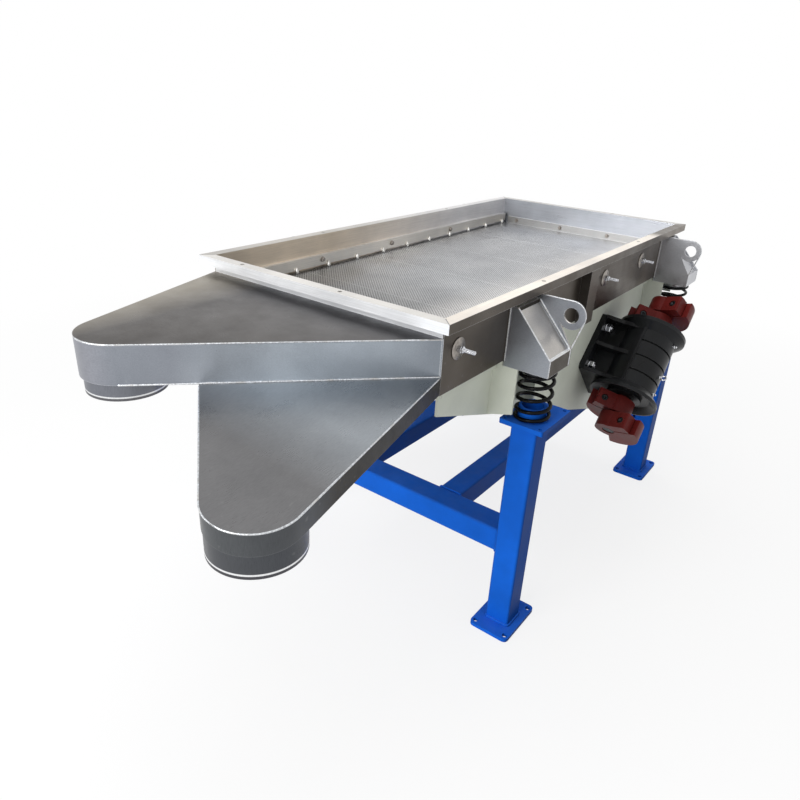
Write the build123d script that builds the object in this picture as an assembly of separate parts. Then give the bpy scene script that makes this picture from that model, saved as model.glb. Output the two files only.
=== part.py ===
from build123d import *
import math
import os

os.makedirs("parts", exist_ok=True)

# Linear vibrating screen. Millimetres, +Z up, floor at Z = 0.
# +X points to the feed end, -X to the outlets, -Y to the side with the near motor.
# The origin is on the floor, midway between the four legs.

# Steel stand
stand_height = 725
leg_tube = 80
leg_wall = 5
leg_corner = 8
leg_step_x = 6
leg_step_y = 2
foot_length = 192
foot_width = 134
foot_thickness = 12
foot_corner = 16
foot_hole_x = 155
foot_hole_y = 105
foot_hole_r = 8
beam_tube = 80
crossbeam_width = 90
beam_wall = 4
beam_bottom = 260
crossbeam_inset = 16
long_beam_inset = 272

# Spring seats and springs
spring_inset = 96
spring_reach = 73
seat_length = 182
seat_width = 134
seat_thickness = 14
seat_corner = 6
seat_shift = 26
seat_hole_inset = 14
seat_hole_r = 5
spring_wire_r = 7.25
spring_outer_r = 55.5
spring_height = 155
spring_coils = 4.2
cup_clearance = 2
cup_wall = 8
cup_height = 38

# Screen box
box_feed_x = 709
box_outlet_x = -986
box_half_width = 395
box_height = 190
box_lift = 15
sheet = 3
pan_lift = 3
rim_width = 30
rim_lip = 25
deck_share = 0.44
deck_edge_gap = 1
ledge_size = 25
cross_bar_count = 6
cross_bar_width = 20
cross_bar_height = 20
clamp_height = 34
clamp_offset = 14
clamp_lift = 9
clamp_end_gap = 12
feed_strip_height = 30
feed_strip_thickness = 6
post_x = -188
post_width = 65
post_drop = 8

# Chutes and outlets
chute_top_share = 0.75
chute_floor_share = 0.26
upper_tip_r = 96
upper_stub_r = 89
upper_outlet_reach = 451
upper_outlet_y = 152
upper_outlet_drop = 40
lower_tip_r = 93
lower_stub_r = 91
lower_outlet_reach = 565
lower_outlet_step = 3
lower_outlet_drop = 144
lower_bend_reach = 175
lower_bend_share = 0.625
lower_chute_slope = 0.104
bead_r = 3
window_margin = 12

# Side panels that carry the motors
panel_inset = 32
panel_thickness = 6
panel_end_gap = 45
panel_end_drop = 82
panel_low_x = 249
panel_low_drop = 490
panel_feed_drop = 45
panel_lip = 12
panel_lip_drop = 15
tie_tube = 60
tie_wall = 4
outlet_tie_positions = (-781, -541)
feed_tie_positions = (579,)

# Spring brackets
bracket_width = 132
bracket_depth = 130
bracket_plate = 6
bracket_face_height = 46
bracket_slope_depth = 22
bracket_slope_drop = 14
bracket_recess = 8
lug_r = 39
lug_hole_r = 21
lug_out = 117
lug_rise = 92
rib_depth = 75
rib_outer_drop = 133

# Vibration motors
motor_x = 131
motor_drop = 223
motor_angle = 45
motor_centre_height = 157
motor_foot_length = 230
motor_foot_width = 236
motor_foot_thickness = 20
motor_bolt_x = 160
motor_bolt_y = 170
motor_bolt_r = 9
motor_core_half = 62
web_thickness = 13
web_shoulder = 80
barrel_r = 94
barrel_length = 232
ridge = 4
flange_r = 120
flange_flare = 26
flange_rim = 12
flange_edge = 5
flange_dish = 18
hub_r = 62
hub_length = 10
fin_count = 3
fin_gap = 7
fin_depth = 6
shaft_r = 22
shaft_clearance = 0.1
shaft_recess = 3
weight_r = 106
weight_thickness = 58
weight_gap = 6
weight_hub_r = 49
weight_turn = 45
weight_start = -140
weight_slit_angle = -21
weight_slit = 5
weight_lug_reach = 88
weight_lug_height = 42
weight_corner = 5
weight_bolt_reach = 62
weight_bolt_r = 12
weight_bolt_depth = 10

# Where the pieces stand
spring_top = stand_height + spring_height
bracket_bottom = spring_top
box_bottom = bracket_bottom + box_lift
box_top = box_bottom + box_height
lip_bottom = box_top - rim_lip
pan_bottom = box_bottom + pan_lift
deck_top = box_bottom + deck_share * box_height
upper_chute_top = box_bottom + chute_top_share * box_height
chute_floor = box_bottom + chute_floor_share * box_height
lower_chute_depth = chute_floor - pan_bottom
upper_outlet = (box_outlet_x - upper_outlet_reach, upper_outlet_y)
lower_outlet = (box_outlet_x - lower_outlet_reach, -box_half_width - lower_outlet_step)
upper_outlet_bottom = chute_floor - upper_outlet_drop
lower_outlet_bottom = chute_floor - lower_outlet_drop
lower_bend = (box_outlet_x - lower_bend_reach, box_half_width * lower_bend_share)
spring_x = box_feed_x - spring_inset
spring_y = box_half_width + spring_reach
leg_x = spring_x + leg_step_x
leg_y = spring_y + leg_step_y
crossbeam_x = leg_x - crossbeam_inset
long_beam_y = leg_y - long_beam_inset
panel_y = box_half_width - panel_inset
panel_end_x = box_outlet_x + panel_end_gap
panel_low_z = box_bottom - panel_low_drop
motor_z = box_bottom - motor_drop


def block(x0, x1, y0, y1, z0, z1):
    """A box between two corners."""
    centre = Pos((x0 + x1) / 2, (y0 + y1) / 2, (z0 + z1) / 2)
    return centre * Box(x1 - x0, y1 - y0, z1 - z0)


def save(name, *solids):
    """Write the solids of one sub-part."""
    shape = solids[0] if len(solids) == 1 else Compound(children=list(solids))
    export_step(shape, f"parts/{name}.step")


def on_side(side, *shapes):
    """Shapes drawn for the near side, put on the near (-1) or the far (1) side."""
    if side < 0:
        return list(shapes)
    return [mirror(shape, about=Plane.XZ) for shape in shapes]


def rounded_plate(length, width, thickness, corner):
    """A flat plate with rounded corners, its underside on Z = 0."""
    return extrude(RectangleRounded(length, width, corner), thickness)


def tube_section(width, height, wall, corner):
    """The section of a rectangular tube."""
    return RectangleRounded(width, height, corner) - RectangleRounded(
        width - 2 * wall, height - 2 * wall, corner - wall
    )


def leg(end, side):
    """A square tube welded between its foot plate and its spring seat."""
    foot = rounded_plate(foot_length, foot_width, foot_thickness, foot_corner)
    for x in (-foot_hole_x / 2, foot_hole_x / 2):
        for y in (-foot_hole_y / 2, foot_hole_y / 2):
            foot -= Pos(x, y, 0) * Cylinder(foot_hole_r, 4 * foot_thickness)
    tube_length = stand_height - seat_thickness - foot_thickness
    tube = Pos(0, 0, foot_thickness) * extrude(
        tube_section(leg_tube, leg_tube, leg_wall, leg_corner), tube_length
    )
    seat = rounded_plate(seat_length, seat_width, seat_thickness, seat_corner)
    inward = Pos(-end * seat_shift, 0, 0)
    hole_x = seat_length / 2 - seat_hole_inset
    hole_y = seat_width / 2 - seat_hole_inset
    for x in (-hole_x, hole_x):
        for y in (-hole_y, hole_y):
            seat -= Pos(x, y, 0) * Cylinder(seat_hole_r, 4 * seat_thickness)
    cup_r = spring_outer_r - 2 * spring_wire_r - cup_clearance
    cup = Pos(0, 0, seat_thickness) * extrude(Circle(cup_r) - Circle(cup_r - cup_wall), cup_height)
    stem = Pos(end * leg_x, side * leg_y, 0) * (foot + tube)
    top = Pos(end * spring_x, side * spring_y, stand_height - seat_thickness) * (inward * seat + cup)
    return stem + top


def beam(length, width):
    """A tube along X, centred on the origin."""
    section = Plane.YZ * tube_section(width, beam_tube, beam_wall, 2 * beam_wall)
    return Pos(-length / 2, 0, 0) * extrude(section, length)


def crossbeam(end):
    """The tube between the two legs of one end."""
    length = 2 * leg_y - leg_tube
    height = beam_bottom + beam_tube / 2
    return Pos(end * crossbeam_x, 0, height) * Rot(0, 0, 90) * beam(length, crossbeam_width)


def long_beam(side):
    """A tube between the two crossbeams."""
    length = 2 * crossbeam_x - crossbeam_width
    return Pos(0, side * long_beam_y, beam_bottom + beam_tube / 2) * beam(length, beam_tube)


def spring(end, side):
    """A round wire wound on a helix, with both ends ground flat."""
    mean_r = spring_outer_r - spring_wire_r
    overrun = spring_wire_r / 2
    rise = spring_height - 2 * overrun
    path = Helix(pitch=rise / spring_coils, height=rise, radius=mean_r)
    section = Plane(path @ 0, z_dir=path % 0) * Circle(spring_wire_r)
    coil = sweep(section, path=path, is_frenet=True)
    coil = Pos(0, 0, overrun) * coil
    trim = Cylinder(2 * spring_outer_r, spring_height, align=(Align.CENTER, Align.CENTER, Align.MIN))
    return Pos(end * spring_x, side * spring_y, stand_height) * (coil & trim)


def rim_ring():
    """The folded top edge: a flat flange all round the box, and a lip hanging from it."""
    x0, x1, y = box_outlet_x - rim_width, box_feed_x + rim_width, box_half_width + rim_width
    flange = block(x0, x1, -y, y, box_top - sheet, box_top)
    flange -= block(box_outlet_x, box_feed_x, -box_half_width, box_half_width, 0, 2 * box_top)
    lip = block(x0, x1, -y, y, lip_bottom, box_top - sheet)
    lip -= block(x0 + sheet, x1 - sheet, sheet - y, y - sheet, 0, 2 * box_top)
    return flange + lip


def rim_wedge(corner_a, corner_b, outward):
    """The mitred stretch of the rim that belongs to the wall from one corner to the other."""
    along = (Vector(*corner_b) - Vector(*corner_a)).normalized()
    out = Vector(*outward)
    a, b = Vector(*corner_a), Vector(*corner_b)
    outer_a = a + (out - along) * rim_width
    outer_b = b + (out + along) * rim_width
    outline = Polyline(a, b, outer_b, outer_a, close=True)
    return rim_ring() & extrude(make_face(outline), 2 * box_top)


def side_plate(side):
    """A long wall of the box with its own stretch of rim."""
    wall = block(
        box_outlet_x, box_feed_x, -box_half_width, sheet - box_half_width, box_bottom, box_top
    )
    rim = rim_wedge((box_outlet_x, -box_half_width), (box_feed_x, -box_half_width), (0, -1))
    return on_side(side, wall + rim)[0]


def feed_wall():
    """The closed wall at the feed end."""
    inner = box_half_width - sheet
    wall = block(box_feed_x - sheet, box_feed_x, -inner, inner, box_bottom, box_top)
    rim = rim_wedge((box_feed_x, -box_half_width), (box_feed_x, box_half_width), (1, 0))
    return wall + rim


def outlet_wall():
    """The wall at the outlet end, with a window into each chute."""
    inner = box_half_width - sheet
    wall = block(box_outlet_x, box_outlet_x + sheet, -inner, inner, box_bottom, box_top)
    rim = rim_wedge((box_outlet_x, box_half_width), (box_outlet_x, -box_half_width), (-1, 0))
    half = inner - window_margin
    x0, x1 = box_outlet_x - sheet, box_outlet_x + 2 * sheet
    upper = block(x0, x1, -half, half, deck_top, upper_chute_top - 2 * sheet)
    lower = block(x0, x1, -half, half, pan_bottom + sheet, chute_floor - sheet)
    return wall - upper - lower + rim


def pan_floor():
    """The floor under the deck, which carries the fine material to the lower chute."""
    inner = box_half_width - sheet
    return block(
        box_outlet_x + sheet, box_feed_x - sheet, -inner, inner, pan_bottom, pan_bottom + sheet
    )


def deck():
    """The screen sheet."""
    inner = box_half_width - sheet - deck_edge_gap
    x0 = box_outlet_x + sheet
    return block(x0, box_feed_x - sheet, -inner, inner, deck_top - sheet, deck_top)


def deck_ledge(side):
    """The angle on a side wall that carries the edge of the deck."""
    inner = sheet - box_half_width
    top = deck_top - sheet
    x0, x1 = box_outlet_x + sheet, box_feed_x - sheet
    flat = block(x0, x1, inner, inner + ledge_size, top - sheet, top)
    upright = block(x0, x1, inner, inner + sheet, top - ledge_size, top - sheet)
    return on_side(side, flat + upright)[0]


def cross_bars():
    """The flat bars under the deck, from ledge to ledge."""
    half = box_half_width - sheet - ledge_size
    top = deck_top - sheet
    span = box_feed_x - box_outlet_x
    pitch = span / (cross_bar_count + 1)
    bars = []
    for i in range(cross_bar_count):
        x = box_outlet_x + pitch * (i + 1)
        x0, x1 = x - cross_bar_width / 2, x + cross_bar_width / 2
        bars.append(block(x0, x1, -half, half, top - cross_bar_height, top))
    return bars


def side_clamp(side):
    """The bent strip along a side wall that holds the screen sheet down."""
    inner = sheet - box_half_width
    x0 = box_outlet_x + sheet + clamp_end_gap
    x1 = box_feed_x - sheet - clamp_end_gap
    bottom = deck_top + clamp_lift
    top = bottom + clamp_height
    face = block(x0, x1, inner + clamp_offset - sheet, inner + clamp_offset, bottom, top)
    shelf = block(x0, x1, inner, inner + clamp_offset, top - sheet, top)
    return on_side(side, face + shelf)[0]


def feed_strip():
    """The flat bar bolted across the feed wall, down on the deck."""
    half = box_half_width - sheet - clamp_offset - clamp_end_gap
    x1 = box_feed_x - sheet
    return block(x1 - feed_strip_thickness, x1, -half, half, deck_top, deck_top + feed_strip_height)


def joint_post(side):
    """The folded channel over the joint of a side wall."""
    x0, x1 = post_x - post_width / 2, post_x + post_width / 2
    y0 = -box_half_width - rim_width
    bottom = box_bottom - post_drop
    channel = block(x0, x1, y0, -box_half_width, bottom, lip_bottom)
    channel -= block(
        x0 + sheet, x1 - sheet, y0 + sheet, -box_half_width, bottom - sheet, lip_bottom + sheet
    )
    return on_side(side, channel)[0]


def tangent_point(point, centre, radius, turn):
    """Where the line from a point touches a circle, on the side given by turn."""
    dx, dy = centre[0] - point[0], centre[1] - point[1]
    distance = math.hypot(dx, dy)
    angle = math.atan2(dy, dx) + turn * math.asin(radius / distance)
    reach = math.sqrt(distance**2 - radius**2)
    return (point[0] + reach * math.cos(angle), point[1] + reach * math.sin(angle))


def left_of(start, end):
    """The unit vector to the left of the way from one point to another."""
    dx, dy = end[0] - start[0], end[1] - start[1]
    length = math.hypot(dx, dy)
    return (-dy / length, dx / length)


def inset_corner(before, corner, after, inset):
    """A corner of an outline, moved to the left of the way by the inset."""
    ux, uy = left_of(before, corner)
    vx, vy = left_of(corner, after)
    share = inset / (1 + ux * vx + uy * vy)
    return (corner[0] + share * (ux + vx), corner[1] + share * (uy + vy))


def chute_outline(centre, tip_r, inset, bend=None):
    """The plan of a chute: the whole end wall, closing in on the round outlet."""
    near = (box_outlet_x, inset - box_half_width)
    far = (box_outlet_x, box_half_width - inset)
    radius = tip_r - inset
    near_touch = tangent_point(near, centre, radius, 1)
    path = [far]
    if bend:
        touch = tangent_point(bend, centre, tip_r, -1)
        path.append(inset_corner(far, bend, touch, inset))
    far_touch = tangent_point(path[-1], centre, radius, -1)
    middle = ((near[0] + far[0]) / 2, (near[1] + far[1]) / 2)
    dx, dy = centre[0] - middle[0], centre[1] - middle[1]
    distance = math.hypot(dx, dy)
    tip = (centre[0] + dx / distance * radius, centre[1] + dy / distance * radius)
    lines = [
        Line(far, near),
        Line(near, near_touch),
        ThreePointArc(near_touch, tip, far_touch),
        Polyline(far_touch, *reversed(path)),
    ]
    return make_face(lines)


def upper_prism(inset, z0, z1):
    """The plan of the upper chute raised between two heights."""
    return Pos(0, 0, z0) * extrude(chute_outline(upper_outlet, upper_tip_r, inset), z1 - z0)


def lower_prism(inset, z0, z1):
    """The plan of the lower chute raised between two heights."""
    outline = chute_outline(lower_outlet, lower_tip_r, inset, lower_bend)
    return Pos(0, 0, z0) * extrude(outline, z1 - z0)


seam_start = (box_outlet_x, -box_half_width)
seam_end = tangent_point(seam_start, upper_outlet, upper_tip_r, 1)


def upper_chute():
    """Walls and floor of the chute for the coarse material, with the outlet hole."""
    top = upper_chute_top - sheet
    walls = upper_prism(0, chute_floor, top)
    walls -= upper_prism(sheet, chute_floor + sheet, 2 * top)
    walls -= block(
        box_outlet_x - sheet, box_outlet_x, sheet - box_half_width, box_half_width - sheet,
        chute_floor + sheet, 2 * top,
    )
    return walls - Pos(*upper_outlet, chute_floor) * Cylinder(upper_stub_r - sheet, 4 * sheet)


def upper_chute_cover():
    """The flat top plate of the upper chute."""
    return upper_prism(0, upper_chute_top - sheet, upper_chute_top)


def sloped_layer(top_drop, bottom_drop):
    """A slab below the seam of the two chutes: level behind the seam, falling in front of it."""
    dx, dy = seam_end[0] - seam_start[0], seam_end[1] - seam_start[1]
    length = math.hypot(dx, dy)
    along = Vector(dx / length, dy / length, 0)
    down_slope = Vector(0, 0, 1).cross(along)
    reach = 2 * (box_half_width + lower_outlet_reach)
    fall = reach * lower_chute_slope
    frame = Plane(origin=(*seam_start, chute_floor), x_dir=down_slope, z_dir=along)
    sign = 1 if frame.y_dir.Z > 0 else -1
    points = [
        (-reach, -sign * top_drop),
        (0, -sign * top_drop),
        (reach, -sign * (top_drop + fall)),
        (reach, -sign * (bottom_drop + fall)),
        (0, -sign * bottom_drop),
        (-reach, -sign * bottom_drop),
    ]
    face = frame * make_face(Polyline(*points, close=True))
    return extrude(face, reach, both=True)


def lower_chute():
    """Walls and floor of the chute for the fine material, with the outlet hole."""
    z0, z1 = lower_outlet_bottom, chute_floor
    outer = lower_prism(0, z0, z1) & sloped_layer(sheet, lower_chute_depth)
    level = lower_prism(0, z0, z1) & sloped_layer(0, lower_chute_depth)
    level &= upper_prism(0, z0, z1)
    inner = lower_prism(sheet, z0, z1) & sloped_layer(0, lower_chute_depth - sheet)
    mouth = block(
        box_outlet_x - sheet, box_outlet_x, sheet - box_half_width, box_half_width - sheet,
        chute_floor - lower_chute_depth + sheet, z1,
    )
    walls = outer + level - inner - mouth
    return walls - Pos(*lower_outlet, z0) * Cylinder(lower_stub_r - sheet, 4 * (z1 - z0))


def lower_chute_cover():
    """The sloped plate from the seam down to the lower outlet."""
    z0, z1 = lower_outlet_bottom, chute_floor
    plate = lower_prism(0, z0, z1) & sloped_layer(0, sheet)
    return plate - upper_prism(0, z0, z1)


def outlet_ring(centre, radius, bottom, top):
    """A round outlet with a rolled bead at its free end."""
    wall = Circle(radius) - Circle(radius - sheet)
    stub = Pos(0, 0, bottom) * extrude(wall, top - bottom)
    bead = Pos(0, 0, bottom + bead_r) * Torus(radius, bead_r)
    bead -= Pos(0, 0, bottom + bead_r) * Cylinder(radius - sheet, 4 * bead_r)
    return Pos(*centre, 0) * (stub + bead)


def upper_outlet_stub():
    """The outlet under the upper chute."""
    return outlet_ring(upper_outlet, upper_stub_r, upper_outlet_bottom, chute_floor)


def lower_outlet_stub():
    """The outlet under the sloped floor of the lower chute."""
    stub = outlet_ring(lower_outlet, lower_stub_r, lower_outlet_bottom, chute_floor)
    reach = 2 * chute_floor
    return stub & sloped_layer(lower_chute_depth, reach)


def support_panel(side):
    """The side panel under the box, deepest below the motor, with a lip along its top."""
    outline = Polyline(
        (panel_end_x, pan_bottom),
        (panel_end_x, box_bottom - panel_end_drop),
        (panel_low_x, panel_low_z),
        (box_feed_x - sheet, box_bottom - panel_feed_drop),
        (box_feed_x - sheet, pan_bottom),
        close=True,
    )
    plate = Pos(0, -panel_y, 0) * extrude(Plane.XZ * make_face(outline), -panel_thickness)
    lip_top = box_bottom - panel_lip_drop
    lip = block(
        panel_end_x, box_feed_x - sheet, -panel_y - panel_lip, -panel_y,
        lip_top - panel_lip, lip_top,
    )
    for x in rib_positions(-1) + rib_positions(1):
        lip -= block(x - bracket_plate, x + bracket_plate, -box_half_width, 0, 0, box_bottom)
    panel = plate + lip
    local = motor_plane()
    for x in (-motor_bolt_x / 2, motor_bolt_x / 2):
        for y in (-motor_bolt_y / 2, motor_bolt_y / 2):
            panel -= local * (Pos(x, y, 0) * Cylinder(motor_bolt_r, 4 * panel_thickness))
    return on_side(side, panel)[0]


def rib_positions(end):
    """The X of the two side plates of a bracket."""
    half = (bracket_width - bracket_plate) / 2
    return [end * spring_x - half, end * spring_x + half]


def panel_bottom_at(x):
    """The height of the lower edge of a side panel at one place."""
    end_z, feed_z = box_bottom - panel_end_drop, box_bottom - panel_feed_drop
    if x < panel_low_x:
        share = (x - panel_end_x) / (panel_low_x - panel_end_x)
        return end_z + share * (panel_low_z - end_z)
    share = (x - panel_low_x) / (box_feed_x - panel_low_x)
    return panel_low_z + share * (feed_z - panel_low_z)


def spring_ribs(end, side):
    """The two upright plates that tie a bracket to the side panel."""
    ribs = []
    outer = -panel_y - rib_depth
    wall = sheet - box_half_width
    for x in rib_positions(end):
        low = max(panel_bottom_at(x), stand_height)
        outer_low = max(bracket_bottom - rib_outer_drop, low)
        outline = Polyline(
            (-panel_y, pan_bottom),
            (wall, pan_bottom),
            (wall, bracket_bottom),
            (outer, bracket_bottom),
            (outer, outer_low),
            (-panel_y, low),
            close=True,
        )
        face = Plane.YZ * make_face(outline)
        ribs.append(Pos(x, 0, 0) * extrude(face, bracket_plate / 2, both=True))
    return on_side(side, *ribs)


def tie_tubes(positions):
    """Square tubes between the two side panels, under the pan."""
    inner = panel_y - panel_thickness
    tubes = []
    for x in positions:
        section = Plane.XZ * tube_section(tie_tube, tie_tube, tie_wall, 2 * tie_wall)
        tube = extrude(section, inner, both=True)
        tubes.append(Pos(x, 0, pan_bottom - tie_tube / 2) * tube)
    return tubes


def bracket_block(points, half):
    """A bracket's side view, drawn as (Y, Z) points, at its full width."""
    return extrude(Plane.YZ * make_face(Polyline(*points, close=True)), half, both=True)


def spring_bracket(end, side):
    """A welded box on the side wall over a spring, with a lifting lug on its inner plate."""
    wall = -box_half_width
    front = wall - bracket_depth
    face_top = bracket_bottom + bracket_face_height
    slope_top = lip_bottom - bracket_slope_drop
    slope_y = wall - bracket_slope_depth
    half = bracket_width / 2
    steepness = (slope_top - face_top) / (slope_y - front)
    stretch = math.hypot(1, steepness)
    recess = bracket_recess * stretch
    inner = (bracket_recess + bracket_plate) * stretch
    shell = bracket_block(
        [
            (wall, bracket_bottom),
            (front, bracket_bottom),
            (front, face_top),
            (slope_y, slope_top),
            (wall, slope_top),
        ],
        half,
    )
    shell -= bracket_block(
        [
            (front + recess / steepness, face_top),
            (front, face_top),
            (slope_y, slope_top),
            (slope_y, slope_top - recess),
        ],
        half - bracket_plate,
    )
    hollow_top = slope_top - 2 * bracket_plate
    hollow_face = face_top - bracket_plate
    shell -= bracket_block(
        [
            (wall + bracket_plate, bracket_bottom + bracket_plate),
            (front + bracket_plate, bracket_bottom + bracket_plate),
            (front + bracket_plate, hollow_face),
            (front + (inner - bracket_plate) / steepness, hollow_face),
            (front + (hollow_top - face_top + inner) / steepness, hollow_top),
            (wall + bracket_plate, hollow_top),
        ],
        half - bracket_plate,
    )
    lug_y, lug_height = wall - lug_out, face_top + lug_rise
    touch = tangent_point((front, face_top), (lug_y, lug_height), lug_r, -1)
    lug_top = lug_height + lug_r
    lug_lines = [
        Line((wall, face_top), (wall, lug_top)),
        Line((wall, lug_top), (lug_y, lug_top)),
        ThreePointArc((lug_y, lug_top), (lug_y - lug_r, lug_height), touch),
        Line(touch, (front, face_top)),
        Line((front, face_top), (wall, face_top)),
    ]
    lug = extrude(Plane.YZ * make_face(lug_lines), bracket_plate)
    lug -= Pos(0, lug_y, lug_height) * Rot(0, 90, 0) * Cylinder(lug_hole_r, 4 * bracket_plate)
    ring_r = spring_outer_r - 2 * spring_wire_r - cup_clearance
    ring = Circle(ring_r) - Circle(ring_r - cup_wall)
    guide = extrude(ring, -cup_height / 2)
    lug_x = half - bracket_plate if end < 0 else -half
    bracket = shell + Pos(lug_x, 0, 0) * lug
    bracket += Pos(0, -spring_y, bracket_bottom) * guide
    return on_side(side, Pos(end * spring_x, 0, 0) * bracket)[0]


def motor_plane():
    """The motor's own frame: X along its shaft, Z out of the side panel."""
    angle = math.radians(motor_angle)
    return Plane(
        origin=(motor_x, -panel_y, motor_z),
        x_dir=(math.cos(angle), 0, math.sin(angle)),
        z_dir=(0, -1, 0),
    ).location


def along_shaft(radius, x0, x1):
    """A cylinder on the motor's shaft line."""
    middle = (x0 + x1) / 2
    return Pos(middle, 0, motor_centre_height) * Rot(0, 90, 0) * Cylinder(radius, x1 - x0)


def shaft_cone(way, start, length, start_r, end_r):
    """A cone on the shaft line, from one place towards one end of the motor."""
    middle = way * (start + length / 2)
    return Pos(middle, 0, motor_centre_height) * Rot(0, way * 90, 0) * Cone(start_r, end_r, length)


def motor_web():
    """A cross web from the foot up to the barrel."""
    foot_half = motor_foot_width / 2 - motor_foot_thickness / 2
    half_outline = [
        (foot_half, motor_foot_thickness / 2),
        (foot_half, motor_foot_thickness),
        (barrel_r, web_shoulder),
        (barrel_r - ridge, motor_centre_height),
    ]
    mirrored = [(-y, z) for y, z in reversed(half_outline)]
    face = Plane.YZ * make_face(Polyline(*half_outline, *mirrored, close=True))
    return extrude(face, web_thickness / 2, both=True)


def motor_housing():
    """The cast housing: foot, webs, grooved barrel, dished end flanges and bearing hubs."""
    half = barrel_length / 2
    foot = rounded_plate(motor_foot_length, motor_foot_width, motor_foot_thickness, foot_corner)
    for x in (-motor_bolt_x / 2, motor_bolt_x / 2):
        for y in (-motor_bolt_y / 2, motor_bolt_y / 2):
            foot -= Pos(x, y, 0) * Cylinder(motor_bolt_r, 4 * motor_foot_thickness)
    housing = foot + along_shaft(barrel_r, -half, half)
    end_x = motor_foot_length / 2 - web_thickness / 2
    housing += block(
        -end_x, end_x, -motor_core_half, motor_core_half,
        motor_foot_thickness / 2, motor_centre_height,
    )
    for x in (-end_x, 0, end_x):
        housing += Pos(x, 0, 0) * motor_web()
    fin_pitch = barrel_length / (fin_count + 1)
    for i in range(fin_count):
        x = -half + fin_pitch * (i + 1)
        groove = along_shaft(2 * barrel_r, x - fin_gap / 2, x + fin_gap / 2)
        groove -= along_shaft(barrel_r - fin_depth, x - fin_gap, x + fin_gap)
        upper = block(-half, half, -2 * barrel_r, 2 * barrel_r,
                      motor_centre_height, 3 * motor_centre_height)
        housing -= groove & upper
    housing += block(
        -half, half, -barrel_r - ridge, barrel_r + ridge,
        motor_centre_height - ridge, motor_centre_height + ridge,
    )
    rim = half + flange_flare - web_thickness
    for way in (-1, 1):
        housing += shaft_cone(way, rim - flange_flare, flange_flare, barrel_r, flange_r)
        ends = sorted((way * rim, way * (rim + flange_rim)))
        housing += along_shaft(flange_r, *ends)
        housing -= shaft_cone(
            way, rim + flange_rim - flange_dish, flange_dish,
            flange_r - flange_edge - flange_flare, flange_r - flange_edge,
        )
        inner = rim + flange_rim - flange_dish
        hub = sorted((way * (inner - sheet), way * (inner + hub_length)))
        housing += along_shaft(hub_r, *hub)
    reach = rim + flange_rim
    return housing - along_shaft(shaft_r + shaft_clearance, -reach, reach)


def motor_body(side):
    """The housing bolted to a side panel."""
    return on_side(side, motor_plane() * motor_housing())[0]


def polar(radius, degrees):
    """A point at a radius and an angle."""
    angle = math.radians(degrees)
    return (radius * math.cos(angle), radius * math.sin(angle))


def weight_section():
    """Half-moon weight, split hub and clamp lug, its heavy side down."""
    start = polar(weight_r, weight_start)
    middle = polar(weight_r, (weight_start + weight_slit_angle) / 2)
    stop = polar(weight_r, weight_slit_angle)
    moon = make_face([
        Line((0, 0), start),
        ThreePointArc(start, middle, stop),
        Line(stop, (0, 0)),
    ])
    lug = Rot(0, 0, weight_slit_angle) * Pos(weight_lug_reach / 2, weight_lug_height / 2) * (
        Rectangle(weight_lug_reach, weight_lug_height)
    )
    section = moon + lug + Circle(weight_hub_r)
    section = offset(offset(section, -weight_corner), weight_corner)
    slit_length = weight_r + weight_corner
    slit = Rot(0, 0, weight_slit_angle) * Pos(slit_length / 2 + 0.8 * shaft_r, 0) * (
        Rectangle(slit_length, weight_slit)
    )
    return section - slit


def eccentric_weight(inner, outer, mirrored):
    """One clamped weight between two places on the shaft, turned to its setting."""
    length = outer - inner
    body = extrude(weight_section(), length)
    bolt = Pos(weight_bolt_reach, weight_lug_height, length / 2) * Rot(90, 0, 0) * (
        Cylinder(weight_bolt_r, 2 * weight_bolt_depth)
    )
    body -= Rot(0, 0, weight_slit_angle) * bolt
    if mirrored:
        body = mirror(body, about=Plane.YZ)
    turn = -weight_turn if mirrored else weight_turn
    section_plane = Plane(
        origin=(outer, 0, motor_centre_height), x_dir=(0, 0, 1), z_dir=(-1, 0, 0)
    ).location
    return section_plane * Rot(0, 0, turn) * body


def rotor(side):
    """The shaft with two eccentric weights at each end."""
    start = barrel_length / 2 + flange_flare - web_thickness + flange_rim + weight_gap
    step = weight_thickness + weight_gap
    reach = start + step + weight_thickness
    body = along_shaft(shaft_r, -reach, reach)
    for way in (-1, 1):
        for place in (0, 1):
            near = start + place * step
            ends = sorted((way * near, way * (near + weight_thickness)))
            body += eccentric_weight(*ends, mirrored=place == 0)
        recess = sorted((way * (reach - shaft_recess), way * (reach + shaft_recess)))
        body -= along_shaft(shaft_r, *recess)
    return on_side(side, motor_plane() * body)[0]


END_NAMES = {-1: "front", 1: "rear"}
SIDE_NAMES = {-1: "near", 1: "far"}

for end, end_name in END_NAMES.items():
    save(f"{end_name}_crossbeam", crossbeam(end))
    for side, side_name in SIDE_NAMES.items():
        save(f"{end_name}_{side_name}_leg", leg(end, side))
        save(f"{end_name}_{side_name}_spring", spring(end, side))
        save(f"{end_name}_{side_name}_bracket", spring_bracket(end, side))
        save(f"{end_name}_{side_name}_ribs", *spring_ribs(end, side))

for side, side_name in SIDE_NAMES.items():
    save(f"{side_name}_long_beam", long_beam(side))
    save(f"{side_name}_side_plate", side_plate(side))
    save(f"{side_name}_deck_ledge", deck_ledge(side))
    save(f"{side_name}_side_clamp", side_clamp(side))
    save(f"{side_name}_joint_post", joint_post(side))
    save(f"{side_name}_support_panel", support_panel(side))
    save(f"{side_name}_motor_housing", motor_body(side))
    save(f"{side_name}_motor_rotor", rotor(side))

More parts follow.
